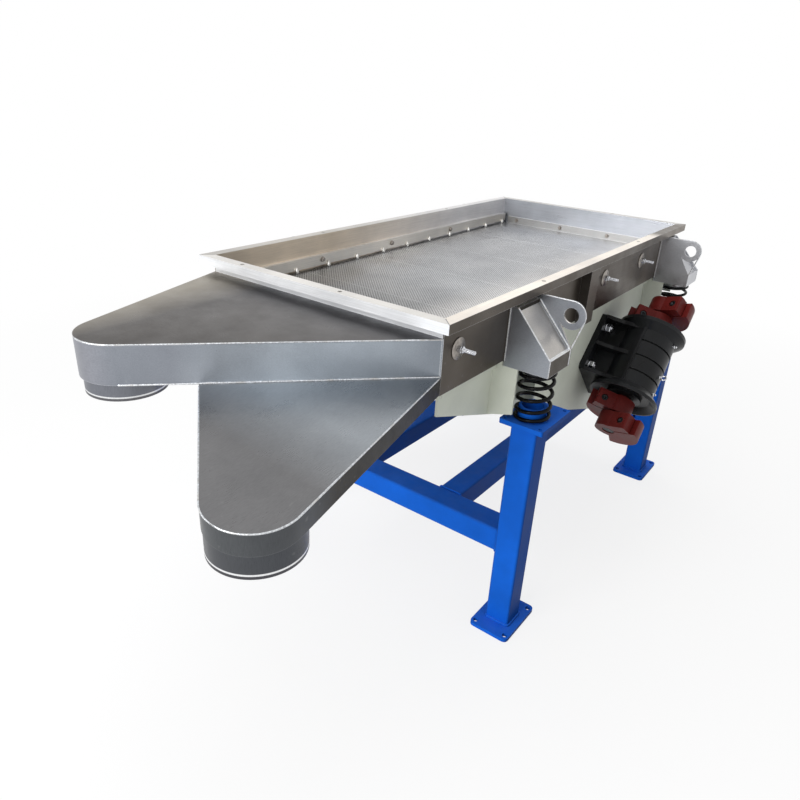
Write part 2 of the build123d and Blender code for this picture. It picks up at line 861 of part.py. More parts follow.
save("feed_wall", feed_wall())
save("outlet_wall", outlet_wall())
save("pan_floor", pan_floor())
save("screen_deck", deck())
save("deck_cross_bars", *cross_bars())
save("feed_strip", feed_strip())
save("outlet_tie_tubes", *tie_tubes(outlet_tie_positions))
save("feed_tie_tube", *tie_tubes(feed_tie_positions))
save("upper_chute", upper_chute())
save("upper_chute_cover", upper_chute_cover())
save("upper_outlet_stub", upper_outlet_stub())
save("lower_chute", lower_chute())
save("lower_chute_cover", lower_chute_cover())
save("lower_outlet_stub", lower_outlet_stub())
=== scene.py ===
"""Finish and small parts of a linear vibrating screen, built round its fixed frame."""

import math

import bpy
import numpy as np
from mathutils import Matrix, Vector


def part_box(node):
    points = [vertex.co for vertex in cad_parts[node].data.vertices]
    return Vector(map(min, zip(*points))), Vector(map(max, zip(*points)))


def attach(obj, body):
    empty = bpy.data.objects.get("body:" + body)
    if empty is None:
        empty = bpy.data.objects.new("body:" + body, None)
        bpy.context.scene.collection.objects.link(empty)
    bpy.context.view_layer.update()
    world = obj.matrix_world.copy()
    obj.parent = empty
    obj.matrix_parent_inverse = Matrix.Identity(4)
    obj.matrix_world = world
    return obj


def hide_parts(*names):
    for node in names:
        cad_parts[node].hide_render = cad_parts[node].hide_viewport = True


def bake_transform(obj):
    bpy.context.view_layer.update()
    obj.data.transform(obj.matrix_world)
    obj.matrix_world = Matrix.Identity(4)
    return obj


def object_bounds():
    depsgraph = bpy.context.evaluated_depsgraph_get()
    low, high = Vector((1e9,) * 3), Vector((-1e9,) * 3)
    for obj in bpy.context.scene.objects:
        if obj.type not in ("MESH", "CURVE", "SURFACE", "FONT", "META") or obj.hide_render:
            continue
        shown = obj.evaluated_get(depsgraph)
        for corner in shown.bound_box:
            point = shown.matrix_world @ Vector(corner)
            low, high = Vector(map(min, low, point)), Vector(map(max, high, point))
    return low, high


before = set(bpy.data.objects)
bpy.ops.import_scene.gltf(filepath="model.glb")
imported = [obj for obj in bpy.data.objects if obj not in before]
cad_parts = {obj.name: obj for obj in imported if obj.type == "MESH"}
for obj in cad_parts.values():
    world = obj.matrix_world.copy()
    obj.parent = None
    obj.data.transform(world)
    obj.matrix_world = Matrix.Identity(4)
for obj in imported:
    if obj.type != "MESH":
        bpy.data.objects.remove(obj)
CAD_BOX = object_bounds()

bl_info = {
    "name": "Vibrating screen finish",
    "version": (1, 0, 0),
    "blender": (4, 5, 0),
    "location": "View3D > Sidebar > Screen",
    "description": "Sheet finish, mesh deck, studs, welds and motor parts of a vibrating screen",
    "category": "Add Mesh",
}

MM = 0.001

# Camera of the photograph, 800 by 800 pixels
CAMERA_PLACE = (-2.17735, -1.14545, 1.55)
CAMERA_FORWARD = (0.7311, 0.5296, -0.4301)
CAMERA_RIGHT = (0.6042, -0.7954, 0.0477)
CAMERA_LENS = 29.92
SENSOR_WIDTH = 36.0


# Surfaces

def add_piece(name, parts, finish, body, smooth=True):
    """Parts made into a piece of the machine, riding on a body if one is named."""
    obj = bpy.data.objects.new(name, parts.mesh(name, smooth))
    bpy.context.scene.collection.objects.link(obj)
    obj.data.materials.append(MATERIALS[finish])
    if body:
        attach(obj, body)
    return obj


def mesh_from(name, points, faces, smooth=True):
    """A mesh from an array of points and a list of arrays of faces."""
    mesh = bpy.data.meshes.new(name)
    faces = [f for f in faces if len(f)]
    loops = np.concatenate([f.ravel() for f in faces]).astype(np.int32)
    sizes = np.concatenate([np.full(len(f), f.shape[1]) for f in faces]).astype(np.int32)
    starts = np.concatenate([[0], np.cumsum(sizes)[:-1]]).astype(np.int32)
    mesh.vertices.add(len(points))
    mesh.vertices.foreach_set("co", np.asarray(points, np.float32).ravel())
    mesh.loops.add(len(loops))
    mesh.loops.foreach_set("vertex_index", loops)
    mesh.polygons.add(len(sizes))
    mesh.polygons.foreach_set("loop_start", starts)
    mesh.polygons.foreach_set("loop_total", sizes)
    mesh.update(calc_edges=True)
    mesh.validate()
    mesh.shade_smooth() if smooth else mesh.shade_flat()
    return mesh


def grid_faces(rows, columns, close_rows=False, close_columns=False):
    """Quads of a grid of points stored row by row; a closed side runs on to its first line."""
    r = np.arange(rows if close_rows else rows - 1)
    c = np.arange(columns if close_columns else columns - 1)
    r, c = np.meshgrid(r, c, indexing="ij")
    r2, c2 = (r + 1) % rows, (c + 1) % columns
    quads = np.stack([r * columns + c, r * columns + c2, r2 * columns + c2, r2 * columns + c], -1)
    return quads.reshape(-1, 4)


def tube_faces(rows, sides, outside_in=False):
    """Faces of a tube of rings stored one after another, with one flat face at each end."""
    faces = [grid_faces(rows, sides, close_columns=True), np.arange(sides)[None, ::-1],
             (np.arange(sides) + (rows - 1) * sides)[None]]
    return [f[:, ::-1] for f in faces] if outside_in else faces


class Parts:
    """Many surfaces, given in millimetres, gathered into one mesh in metres."""

    def __init__(self):
        self.points = []
        self.faces = []
        self.count = 0

    def add(self, points, faces):
        points = np.asarray(points, float).reshape(-1, 3)
        self.points.append(points)
        self.faces += [f + self.count for f in faces]
        self.count += len(points)

    def mesh(self, name, smooth=True):
        quads = [f for f in self.faces if f.shape[1] == 4]
        others = [f for f in self.faces if f.shape[1] != 4]
        groups = ([np.concatenate(quads)] if quads else []) + others
        return mesh_from(name, np.concatenate([p * MM for p in self.points]), groups, smooth)


def axes_for(direction):
    """Two unit vectors square to a direction and to each other."""
    d = np.asarray(direction, float)
    d = d / np.linalg.norm(d)
    side = np.cross(d, (0, 0, 1)) if abs(d[2]) < 0.9 else np.cross(d, (1, 0, 0))
    side = side / np.linalg.norm(side)
    return side, np.cross(d, side), d


def turned(profile, base, direction, segments=24, phase=0.0, radius_at=None):
    """A profile of (radius, height) pairs turned round an axis.

    Point = base + radius(angle) * (cos angle, sin angle) across the axis + height along it. The
    first and last rings are closed with one flat face each.
    """
    side, up, d = axes_for(direction)
    angle = phase + np.arange(segments) * 2 * math.pi / segments
    ring = np.cos(angle)[:, None] * side + np.sin(angle)[:, None] * up
    factor = np.ones(segments) if radius_at is None else radius_at(angle - phase)
    profile = np.asarray(profile, float)
    points = (np.asarray(base, float)
              + profile[:, 0, None, None] * (ring * factor[:, None])[None]
              + profile[:, 1, None, None] * d)
    return points, tube_faces(len(profile), segments)


def hexagon(angle):
    """The reach of a hexagon over its inscribed circle at each angle."""
    return 1 / np.cos((angle + math.pi / 6) % (math.pi / 3) - math.pi / 6)


def hex_head(flats, height, base, direction, phase=0.0):
    """A hexagon head: a six-sided drum whose top edge is cut back to a circle."""
    half = flats / 2
    profile = [(half, 0), (half, height * 0.86), (half * 0.93, height), (half * 0.3, height)]
    return turned(profile, base, direction, 24, phase, hexagon)


def washer(radius, thickness, base, direction):
    """A round washer with a small edge round."""
    edge = thickness * 0.3
    profile = [(radius - edge, 0), (radius, edge), (radius, thickness - edge),
               (radius - edge, thickness)]
    return turned(profile, base, direction, 32)


def threaded_rod(radius, pitch, length, base, direction, segments=16):
    """A rod whose radius falls and rises as a triangle wave along a helix.

    radius(angle, height) = radius - depth * wave(height / pitch - angle / full turn).
    """
    side, up, d = axes_for(direction)
    rows = max(3, int(length / pitch * 4) + 1)
    angle = np.arange(segments) * 2 * math.pi / segments
    height = np.linspace(0, length, rows)
    phase = (height[:, None] / pitch - angle[None] / (2 * math.pi)) % 1.0
    depth = 0.55 * pitch
    r = radius - depth * np.abs(2 * phase - 1)
    r[0], r[-1] = radius - depth, radius - depth
    ring = np.cos(angle)[:, None] * side + np.sin(angle)[:, None] * up
    points = np.asarray(base, float) + r[:, :, None] * ring[None] + height[:, None, None] * d
    return points, tube_faces(rows, segments)


def eye_ring(centre, axis, radius, wire):
    """A ring: centre + (radius + wire cos v) (cos u, sin u) across the axis + wire sin v along."""
    side, up, d = axes_for(axis)
    u = np.arange(28)[:, None, None] * 2 * math.pi / 28
    v = np.arange(10)[None, :, None] * 2 * math.pi / 10
    across = np.cos(u) * side + np.sin(u) * up
    points = np.asarray(centre, float) + (radius + wire * np.cos(v)) * across + wire * np.sin(v) * d
    return points.reshape(-1, 3), [grid_faces(28, 10, True, True)[:, ::-1]]


def coil(centre, outer, low, high, wire, turns, start, close):
    """A spring of round wire, ground level at both ends and closer wound there.

    With t from 0 to 1 and u = start + turns t, a point lies (outer - wire + wire cos v) from the
    axis at the angle u, and low + wire / 2 + rise (t - close sin(2 pi t) / 2 pi) + wire sin v up
    it, held between low and high.
    """
    rows, sides = int(turns * 56), 14
    t = np.linspace(0, 1, rows)[:, None]
    u = start + t * turns * 2 * math.pi
    v = np.arange(sides)[None] * 2 * math.pi / sides
    reach = outer - wire + wire * np.cos(v)
    risen = t - close * np.sin(2 * math.pi * t) / (2 * math.pi)
    height = low + wire / 2 + (high - low - wire) * risen + wire * np.sin(v)
    points = np.stack([centre[0] + reach * np.cos(u), centre[1] + reach * np.sin(u),
                       np.clip(height, low, high)], -1)
    return points.reshape(-1, 3), tube_faces(rows, sides, outside_in=True)


def resampled(path, step):
    """Points at an even step along a polyline."""
    path = np.asarray(path, float)
    lengths = np.linalg.norm(np.diff(path, axis=0), axis=1)
    along = np.concatenate([[0], np.cumsum(lengths)])
    count = max(2, int(round(along[-1] / step)) + 1)
    at = np.linspace(0, along[-1], count)
    return np.stack([np.interp(at, along, line) for line in path.T], -1), at


def bead(path, radius, step, ripple, seed, sides=8):
    """A weld bead: a round section carried along a path, its radius rippled as the pool froze.

    radius(s) = radius * (1 + ripple * |sin(s / ripple length)| + slow noise).
    """
    centre, at = resampled(path, step)
    rng = np.random.default_rng(seed)
    tangent = np.gradient(centre, axis=0)
    tangent /= np.linalg.norm(tangent, axis=1)[:, None]
    reference = np.eye(3)[np.argmin(np.abs(tangent).sum(axis=0))]
    side = np.cross(tangent, reference)
    side /= np.linalg.norm(side, axis=1)[:, None]
    up = np.cross(side, tangent)
    slow = np.interp(at, np.linspace(0, at[-1], 12), rng.uniform(-0.15, 0.15, 12))
    r = radius * (1 + ripple * np.abs(np.sin(at / (radius * 0.9))) + slow)
    r[0] *= 0.4
    r[-1] *= 0.4
    angle = np.arange(sides) * 2 * math.pi / sides
    ring = np.cos(angle)[None, :, None] * side[:, None] + np.sin(angle)[None, :, None] * up[:, None]
    points = centre[:, None] + r[:, None, None] * ring
    return points, tube_faces(len(centre), sides, outside_in=True)


# Materials

def new_material(name):
    """An empty node material with its shader; returns it with its tree and shader."""
    material = bpy.data.materials.new(name)
    material.use_nodes = True
    tree = material.node_tree
    return material, tree, tree.nodes["Principled BSDF"]


def add_node(tree, kind, **settings):
    """A shader node with its properties set, and its sockets where the name is a socket's."""
    made = tree.nodes.new(kind)
    for key, value in settings.items():
        if hasattr(made, key):
            setattr(made, key, value)
        else:
            made.inputs[key.replace("_", " ").title()].default_value = value
    return made


def object_noise(tree, scale, stretch=(1, 1, 1), detail=4.0, roughness=0.6):
    """Noise in the object's own coordinates, stretched along its axes."""
    coords = add_node(tree, "ShaderNodeTexCoord")
    mapping = add_node(tree, "ShaderNodeMapping")
    mapping.inputs["Scale"].default_value = stretch
    noise = add_node(tree, "ShaderNodeTexNoise", scale=scale, detail=detail, roughness=roughness)
    tree.links.new(coords.outputs["Object"], mapping.inputs["Vector"])
    tree.links.new(mapping.outputs["Vector"], noise.inputs["Vector"])
    return noise.outputs["Fac"]


def ramp(tree, source, low, high, stops):
    """A colour ramp between two places on a value, with one colour at each."""
    made = add_node(tree, "ShaderNodeValToRGB")
    made.color_ramp.elements[0].position = low
    made.color_ramp.elements[1].position = high
    made.color_ramp.elements[0].color = (*stops[0], 1)
    made.color_ramp.elements[1].color = (*stops[1], 1)
    tree.links.new(source, made.inputs["Fac"])
    return made.outputs["Color"]


def spread(tree, source, low, high):
    """A value stretched from 0.3..0.7 to low..high."""
    made = add_node(tree, "ShaderNodeMapRange")
    made.inputs["From Min"].default_value = 0.3
    made.inputs["From Max"].default_value = 0.7
    made.inputs["To Min"].default_value = low
    made.inputs["To Max"].default_value = high
    tree.links.new(source, made.inputs["Value"])
    return made.outputs["Result"]


def bump(tree, shader, source, strength, distance):
    """A bump on the shader from a value."""
    made = add_node(tree, "ShaderNodeBump", strength=strength, distance=distance)
    tree.links.new(source, made.inputs["Height"])
    tree.links.new(made.outputs["Normal"], shader.inputs["Normal"])


def mixed(tree, factor, first, second, blend="MIX"):
    """Two colours mixed by a value; a number, a colour or a socket may stand for each."""
    made = add_node(tree, "ShaderNodeMix", data_type="RGBA", blend_type=blend)
    for place, value in ((0, factor), (6, first), (7, second)):
        if isinstance(value, bpy.types.NodeSocket):
            tree.links.new(value, made.inputs[place])
        else:
            made.inputs[place].default_value = value if place == 0 else (*value, 1)
    return made.outputs[2]


def maths(tree, operation, first, second):
    """One sum on values; a number or a socket may stand for each."""
    made = add_node(tree, "ShaderNodeMath", operation=operation)
    for place, value in enumerate((first, second)):
        if isinstance(value, bpy.types.NodeSocket):
            tree.links.new(value, made.inputs[place])
        else:
            made.inputs[place].default_value = value
    return made.outputs[0]


def place_on(tree, axis, low, high):
    """A value that runs from 0 to 1 between two places on one of the object's axes, in metres."""
    coords = add_node(tree, "ShaderNodeTexCoord")
    split = add_node(tree, "ShaderNodeSeparateXYZ")
    made = add_node(tree, "ShaderNodeMapRange")
    made.inputs["From Min"].default_value = low
    made.inputs["From Max"].default_value = high
    tree.links.new(coords.outputs["Object"], split.inputs[0])
    tree.links.new(split.outputs[axis], made.inputs["Value"])
    return made.outputs["Result"]


def facing(tree, axis):
    """How squarely a face looks along one of the object's axes: the square of its normal there."""
    coords = add_node(tree, "ShaderNodeTexCoord")
    split = add_node(tree, "ShaderNodeSeparateXYZ")
    tree.links.new(coords.outputs["Normal"], split.inputs[0])
    return maths(tree, "MULTIPLY", split.outputs[axis], split.outputs[axis])


# Used for chipped paint, which is wear, and for bright steel edges, partly a painted highlight.
def edge_wear_and_highlight(tree, radius):
    """A value that rises along sharp edges: how far a rounded normal turns from the true one."""
    rounded = add_node(tree, "ShaderNodeBevel")
    rounded.samples = 4
    rounded.inputs["Radius"].default_value = radius
    plain = add_node(tree, "ShaderNodeNewGeometry")
    dot = add_node(tree, "ShaderNodeVectorMath", operation="DOT_PRODUCT")
    tree.links.new(rounded.outputs["Normal"], dot.inputs[0])
    tree.links.new(plain.outputs["Normal"], dot.inputs[1])
    made = add_node(tree, "ShaderNodeMapRange")
    made.inputs["From Min"].default_value = 0.995
    made.inputs["From Max"].default_value = 0.86
    tree.links.new(dot.outputs["Value"], made.inputs["Value"])
    return made.outputs["Result"]


def sheet_steel(name, flat, ends, sides, grain=(1, 60, 60), roughness=(0.3, 0.45), edge=0.5,
                spots=0.06, painted_light_bands=(), metallic=1.0, painted_back_tone=None):
    """Satin stainless sheet.

    The tone differs between sheet that lies flat, the ends and the long sides, one tone for
    each facing: painted light and reflection. On it lie slow clouds, fine scratches along the
    grain, rubbed smudges, small marks and bright sharp edges, partly ground and partly a painted
    highlight. Each band is (axis, low, high, tone): the sheet takes that tone from low to high, a
    painted gradient of light and reflection. Faces that look along +Y take the back tone, if there
    is one, painted light as well.
    """
    material, tree, shader = new_material(name)
    cloud = object_noise(tree, 2.6, detail=4.0)
    scratch = object_noise(tree, 9.0, grain, detail=6.0, roughness=0.7)
    smudge = object_noise(tree, 11.0, detail=3.0)
    mark = object_noise(tree, 55.0, detail=1.5)
    # Painted light and reflection: one tone for each facing of the sheet.
    tone = mixed(tree, facing(tree, 0), sides, ends)
    tone = mixed(tree, facing(tree, 2), tone, flat)
    # Painted light and reflection gradients, one for each band, along the object's axes.
    for axis, low, high, colour in painted_light_bands:
        tone = mixed(tree, place_on(tree, axis, low, high), tone, colour)
    # Painted light: faces that look along +Y take their own back tone.
    if painted_back_tone:
        coords = add_node(tree, "ShaderNodeTexCoord")
        split = add_node(tree, "ShaderNodeSeparateXYZ")
        tree.links.new(coords.outputs["Normal"], split.inputs[0])
        tone = mixed(tree, maths(tree, "GREATER_THAN", split.outputs[1], 0.5), tone, painted_back_tone)
    tone = mixed(tree, 1.0, tone, ramp(tree, cloud, 0.3, 0.7, ((0.8,) * 3, (1.16, 1.15, 1.13))),
                 "MULTIPLY")
    tone = mixed(tree, 1.0, tone, ramp(tree, scratch, 0.35, 0.65, ((0.9,) * 3, (1.08,) * 3)),
                 "MULTIPLY")
    marks = ramp(tree, mark, 0.7, 0.78, ((0, 0, 0), (spots,) * 3))
    tone = mixed(tree, marks, tone, (0.75, 0.74, 0.72))
    # Bright sharp edges: partly ground edges, partly a painted highlight.
    tone = mixed(tree, maths(tree, "MULTIPLY", edge_wear_and_highlight(tree, 0.0022), edge), tone,
                 (0.82, 0.83, 0.85))
    tree.links.new(tone, shader.inputs["Base Color"])
    rough = maths(tree, "ADD", spread(tree, scratch, *roughness),
                  spread(tree, smudge, -0.07, 0.09))
    tree.links.new(rough, shader.inputs["Roughness"])
    shader.inputs["Metallic"].default_value = metallic
    bump(tree, shader, scratch, 0.12, 0.0006)
    return material


def paint(name, light, dark, roughness=(0.3, 0.42), grain=400.0, depth=0.05, coat=0.2,
          chips=None, dust=0.0, sides=1.0, gloss=0.3):
    """Sprayed paint: slow tone, orange peel, a thin gloss, dust on top and rubbed edges.

    Faces that look along Y take their tone times sides: painted shade where sides is below 1.
    """
    material, tree, shader = new_material(name)
    cloud = object_noise(tree, 6.0, detail=5.0)
    peel = object_noise(tree, grain, detail=2.0)
    tone = ramp(tree, cloud, 0.35, 0.65, (dark, light))
    # Painted shade on faces that look along Y.
    if sides != 1.0:
        tone = mixed(tree, facing(tree, 1), tone, mixed(tree, 1.0, tone, (sides,) * 3, "MULTIPLY"))
    if dust:
        lying = maths(tree, "MULTIPLY", facing(tree, 2), dust)
        patchy = maths(tree, "MULTIPLY", lying, spread(tree, object_noise(tree, 25.0), 0.3, 1.0))
        tone = mixed(tree, patchy, tone, (0.45, 0.43, 0.4))
    if chips:
        broken = maths(tree, "MULTIPLY", edge_wear_and_highlight(tree, 0.0014),
                       spread(tree, object_noise(tree, 70.0), 0.0, 0.8))
        tone = mixed(tree, broken, tone, chips)
    tree.links.new(tone, shader.inputs["Base Color"])
    tree.links.new(spread(tree, cloud, *roughness), shader.inputs["Roughness"])
    shader.inputs["Specular IOR Level"].default_value = gloss
    shader.inputs["Coat Weight"].default_value = coat
    shader.inputs["Coat Roughness"].default_value = 0.2
    bump(tree, shader, peel, depth, 0.0004)
    return material


def plated(name, tone, roughness, grain=120.0):
    """Bright plated or ground metal with small tone changes."""
    material, tree, shader = new_material(name)
    cloud = object_noise(tree, grain, detail=3.0)
    dull = tuple(0.62 * c for c in tone)
    tree.links.new(ramp(tree, cloud, 0.3, 0.6, (dull, tone)), shader.inputs["Base Color"])
    tree.links.new(spread(tree, cloud, roughness + 0.1, roughness - 0.06),
                   shader.inputs["Roughness"])
    shader.inputs["Metallic"].default_value = 1.0
    bump(tree, shader, cloud, 0.1, 0.0003)
    return material


def weld_metal(name, tone, heat):
    """Ground weld: bright and patchy, with straw and blue heat colours here and there."""
    material, tree, shader = new_material(name)
    fine = object_noise(tree, 260.0, detail=3.0)
    slow = object_noise(tree, 30.0, detail=2.0)
    dull = tuple(0.5 * c for c in tone)
    made = ramp(tree, fine, 0.3, 0.65, (dull, tone))
    made = mixed(tree, ramp(tree, slow, 0.5, 0.75, ((0, 0, 0), (0.7, 0.7, 0.7))), made, heat)
    tree.links.new(made, shader.inputs["Base Color"])
    tree.links.new(spread(tree, fine, 0.3, 0.5), shader.inputs["Roughness"])
    shader.inputs["Metallic"].default_value = 1.0
    bump(tree, shader, fine, 0.4, 0.0008)
    return material


MATERIALS = {}


def make_materials(props):
    """All the finishes of the machine."""
    MATERIALS.update(
        # Painted light and reflection: one tone per facing, and bands that paint the walls lighter
        # from X -1.42 m on and less light again past X -1.14 m.
        upper_chute=sheet_steel(
            "upper chute steel", (0.135, 0.133, 0.132), (0.30, 0.31, 0.35), (0.24, 0.27, 0.31),
            (60, 8, 60), painted_light_bands=((0, -1.42, -1.26, (0.47, 0.52, 0.58)),
                                (0, -1.14, -1.0, (0.27, 0.30, 0.34)))),
        # Painted reflection: a dark top, lighter from X -1.35 m on, darker again next to the rim,
        # and a warm light band towards the far side.
        upper_cover=sheet_steel(
            "upper cover steel", (0.085, 0.079, 0.076), (0.4, 0.4, 0.42), (0.4, 0.4, 0.42),
            (60, 8, 60), painted_light_bands=((0, -1.35, -1.12, (0.13, 0.125, 0.125)),
                                (0, -1.1, -0.99, (0.095, 0.098, 0.11)),
                                (1, 0.17, 0.32, (0.36, 0.33, 0.28)))),
        # Painted shade: dark side faces, and a band that darkens the chute from X -1.50 m towards
        # the box.
        lower_chute=sheet_steel(
            "lower chute steel", (0.2, 0.2, 0.2), (0.1, 0.107, 0.115), (0.085, 0.09, 0.098),
            (60, 60, 8), edge=0.1, painted_light_bands=((0, -1.50, -1.42, (0.036, 0.033, 0.028)),)),
        # Painted reflection: a band that lightens the cover from X -1.47 m towards the box.
        lower_cover=sheet_steel(
            "lower cover steel", (0.19, 0.19, 0.196), (0.3, 0.3, 0.3), (0.3, 0.3, 0.3),
            (8, 60, 60), (0.26, 0.38), painted_light_bands=((0, -1.47, -1.3, (0.34, 0.365, 0.395)),)),
        # Painted light: a near-white tone on faces that look up, dark brown reflection on the long
        # sides, and one tone past X 0.44 m from a band.
        near_wall=sheet_steel(
            "near wall steel", (1.0, 0.93, 0.85), (0.13, 0.12, 0.11), (0.1, 0.086, 0.072),
            (1, 60, 60), edge=0.35, spots=0.04,
            painted_light_bands=((0, 0.36, 0.44, (0.2, 0.175, 0.15)),)),
        # Painted light: a bright tone on faces that look along -Y, a dark back tone on those that
        # look along +Y, and a band that lightens the wall towards the feed end.
        far_wall=sheet_steel(
            "far wall steel", (0.58, 0.56, 0.53), (0.4, 0.37, 0.32), (0.7, 0.61, 0.5),
            (1, 60, 60), (0.38, 0.5), edge=0.35, spots=0.05,
            painted_light_bands=((0, -0.5, 0.3, (0.8, 0.79, 0.8)),),
            painted_back_tone=(0.13, 0.115, 0.1)),
        # Painted light: one tone per facing, with a near-white reflection tone on faces that look
        # along X.
        outlet_wall=sheet_steel(
            "outlet wall steel", (0.72, 0.7, 0.67), (0.86, 0.875, 0.9), (0.5, 0.5, 0.5),
            (60, 1, 60), edge=0.4, metallic=0.3),
        # Painted light: one tone per facing.
        feed_wall=sheet_steel(
            "feed wall steel", (0.66, 0.65, 0.63), (0.41, 0.43, 0.47), (0.4, 0.4, 0.38),
            (60, 1, 60), edge=0.35),
        # Painted light: one tone per facing, with strong bright edges, partly a painted highlight.
        strip=sheet_steel(
            "clamp strip steel", (0.75, 0.74, 0.74), (0.4, 0.4, 0.4), (0.78, 0.75, 0.7),
            (1, 60, 60), edge=0.8),
        # Painted light: one tone per facing.
        inside=sheet_steel(
            "inner steel", (0.3, 0.29, 0.27), (0.25, 0.24, 0.22), (0.2, 0.19, 0.17), (1, 60, 60)),
        # Painted light: near-white faces that look up, near-black shade on faces that look along Y,
        # and a band that gives the feed-end brackets one lighter tone.
        bracket=sheet_steel(
            "bracket steel", (1.0, 0.97, 0.94), (0.3, 0.32, 0.36), (0.04, 0.032, 0.022),
            (20, 20, 60), edge=0.7, spots=0.05,
            painted_light_bands=((0, -0.3, 0.3, (0.52, 0.53, 0.56)),)),
        # Painted highlight and shade: one tone per facing, a thin bright band round the stub near
        # its lower end, dark below it.
        upper_ring=sheet_steel(
            "upper ring steel", (0.5, 0.5, 0.5), (0.2, 0.21, 0.24), (0.19, 0.2, 0.225),
            (60, 60, 8), edge=0.2, painted_light_bands=((2, 0.9145, 0.9135, (0.85, 0.86, 0.88)),
                                          (2, 0.911, 0.91, (0.14, 0.14, 0.15)))),
        # Painted highlight and shade: one tone per facing, a thin bright band round the stub near
        # its lower end, dark below it.
        lower_ring=sheet_steel(
            "lower ring steel", (0.5, 0.5, 0.5), (0.09, 0.095, 0.105), (0.075, 0.08, 0.09),
            (60, 60, 8), edge=0.2, painted_light_bands=((2, 0.811, 0.81, (0.85, 0.86, 0.88)),
                                          (2, 0.8072, 0.8062, (0.08, 0.08, 0.09)))),
        # Painted light: one tone per facing, a band that darkens the deck towards the outlet end
        # and one that lightens its near side.
        deck=sheet_steel(
            "deck steel", (0.59, 0.6, 0.625), (0.3, 0.3, 0.3), (0.3, 0.3, 0.3), (30, 30, 30),
            (0.32, 0.42), edge=0.0, spots=0.05,
            painted_light_bands=((0, -0.4, -0.85, (0.22, 0.22, 0.22)),
                   (1, -0.1, -0.34, (0.92, 0.89, 0.87)))),
        # sides=0.36 paints shade on the stand's faces that look along Y.
        blue=paint("blue paint", tuple(props.blue), tuple(0.82 * c for c in props.blue),
                   (0.42, 0.55), coat=0.0, chips=(0.012, 0.06, 0.25), dust=0.05, sides=0.36,
                   gloss=0.05),
        cream=paint("cream paint", tuple(props.cream), tuple(0.88 * c for c in props.cream),
                    (0.45, 0.6), coat=0.0, chips=(0.6, 0.6, 0.52)),
        black=paint("black casting", (0.009, 0.01, 0.012), (0.004, 0.0045, 0.005),
                    (0.26, 0.4), 160.0, 0.5, 0.1, chips=(0.09, 0.09, 0.09), dust=0.02, gloss=0.15),
        red=paint("red paint", tuple(props.red), tuple(0.6 * c for c in props.red),
                  (0.32, 0.48), 220.0, 0.4, 0.0, chips=(0.26, 0.05, 0.04), gloss=0.12),
        spring=paint("spring paint", (0.004, 0.004, 0.0045), (0.002, 0.002, 0.0025),
                     (0.2, 0.3), 300.0, 0.1, 0.03, gloss=0.1),
        bright=plated("bright fixings", (0.72, 0.73, 0.76), 0.24),
        dull=plated("washer steel", (0.36, 0.33, 0.3), 0.34),
        weld=weld_metal("ground weld", (0.8, 0.82, 0.85), (0.5, 0.47, 0.42)),
        joint=weld_metal("wall weld", (0.42, 0.42, 0.42), (0.22, 0.2, 0.2)),
        oxide=plated("black screws", (0.035, 0.037, 0.04), 0.4),
        peg=plated("peg metal", (0.72, 0.71, 0.68), 0.4),
    )


NODE_FINISH = (
    ("_leg", "blue"), ("crossbeam", "blue"), ("long_beam", "blue"), ("_spring", "spring"),
    ("support_panel", "cream"), ("_ribs", "cream"), ("tie_tube", "cream"),
    ("motor_housing", "black"), ("motor_rotor", "red"), ("upper_chute_cover", "upper_cover"),
    ("lower_chute_cover", "lower_cover"), ("upper_chute", "upper_chute"),
    ("lower_chute", "lower_chute"), ("upper_outlet_stub", "upper_ring"),
    ("lower_outlet_stub", "lower_ring"), ("bracket", "bracket"),
    ("near_side_plate", "near_wall"), ("far_side_plate", "far_wall"),
    ("joint_post", "near_wall"), ("outlet_wall", "outlet_wall"), ("feed_wall", "feed_wall"),
    ("feed_strip", "strip"), ("side_clamp", "strip"), ("deck", "inside"), ("ledge", "inside"),
    ("pan_floor", "inside"),
)


# Where the pieces stand, in millimetres

WALL_Y = 395.0
FEED_WALL_X = 709.0
RIM_TOP = 1085.0
RIM_WIDTH = 29.0
DECK_TOP = 978.6
DECK_STRIPS = 5
DECK_MARGIN = 9.0           # plain edge round the holes
DECK_SHEET_LIFT = 1.2       # from the border's underside up to the sheets'
DECK_EDGE_CUT = 0.3         # height of the border's cut top edge
DECK_EDGE_SHARE = 0.9995    # share of the border's reach that its top keeps inside that edge
SUNK = 0.2                  # how far a washer is let into the face behind it
PEG_SUNK = 0.3              # the same for a peg or a flat head
STUD_PLACES = (-921.0, -471.0, -18.0, 338.0)
STUD_HEIGHT = 997.0
STUD_WASHER = (28.0, 3.0)   # radius and thickness, for each washer
STUD_NUT = (17.0, 9.0)      # over the flats and height, for each head
STUD_COLLAR = (8.0, 5.0)
STUD_THREAD = (1.5, 31.0)   # pitch and length
NUT_OUT, COLLAR_OUT, THREAD_OUT = 3.0, 11.5, 16.0      # from the wall
STRIP_FACE_Y = 378.0
STRIP_SCREW_PLACES = (-558.0, -181.0, 219.0)
STRIP_SCREW_HEIGHT = 1006.0
SCREW_WASHER = 1.6
SCREW_WASHER_R = 9.0
SCREW_HEAD = (13.0, 6.0)
PEG_PLACES = np.linspace(-681, 659, 10)
PEG_OUT = 5.0
PEG_WAY = (0, -0.12, 1)
FEED_FACE_X = 700.0
FEED_SCREW_PLACES = (-320, -121, 100, 320)
FEED_SCREW_HEIGHT = DECK_TOP + 15
RIM_SCREW_PLACES = ((-999, -94), (-524, -407), (-999, 260), (224, -407), (-524, 407),
                    (224, 407), (724, -120), (724, 220))
UPPER_OUTLET = (-1437.0, 152.0)
LOWER_OUTLET = (-1551.0, -398.0)
UPPER_TIP_R = 96.0
LOWER_TIP_R = 93.0
UPPER_TOP = 1037.5
CHUTE_FLOOR = 944.4
LOWER_SLOPE = 0.104
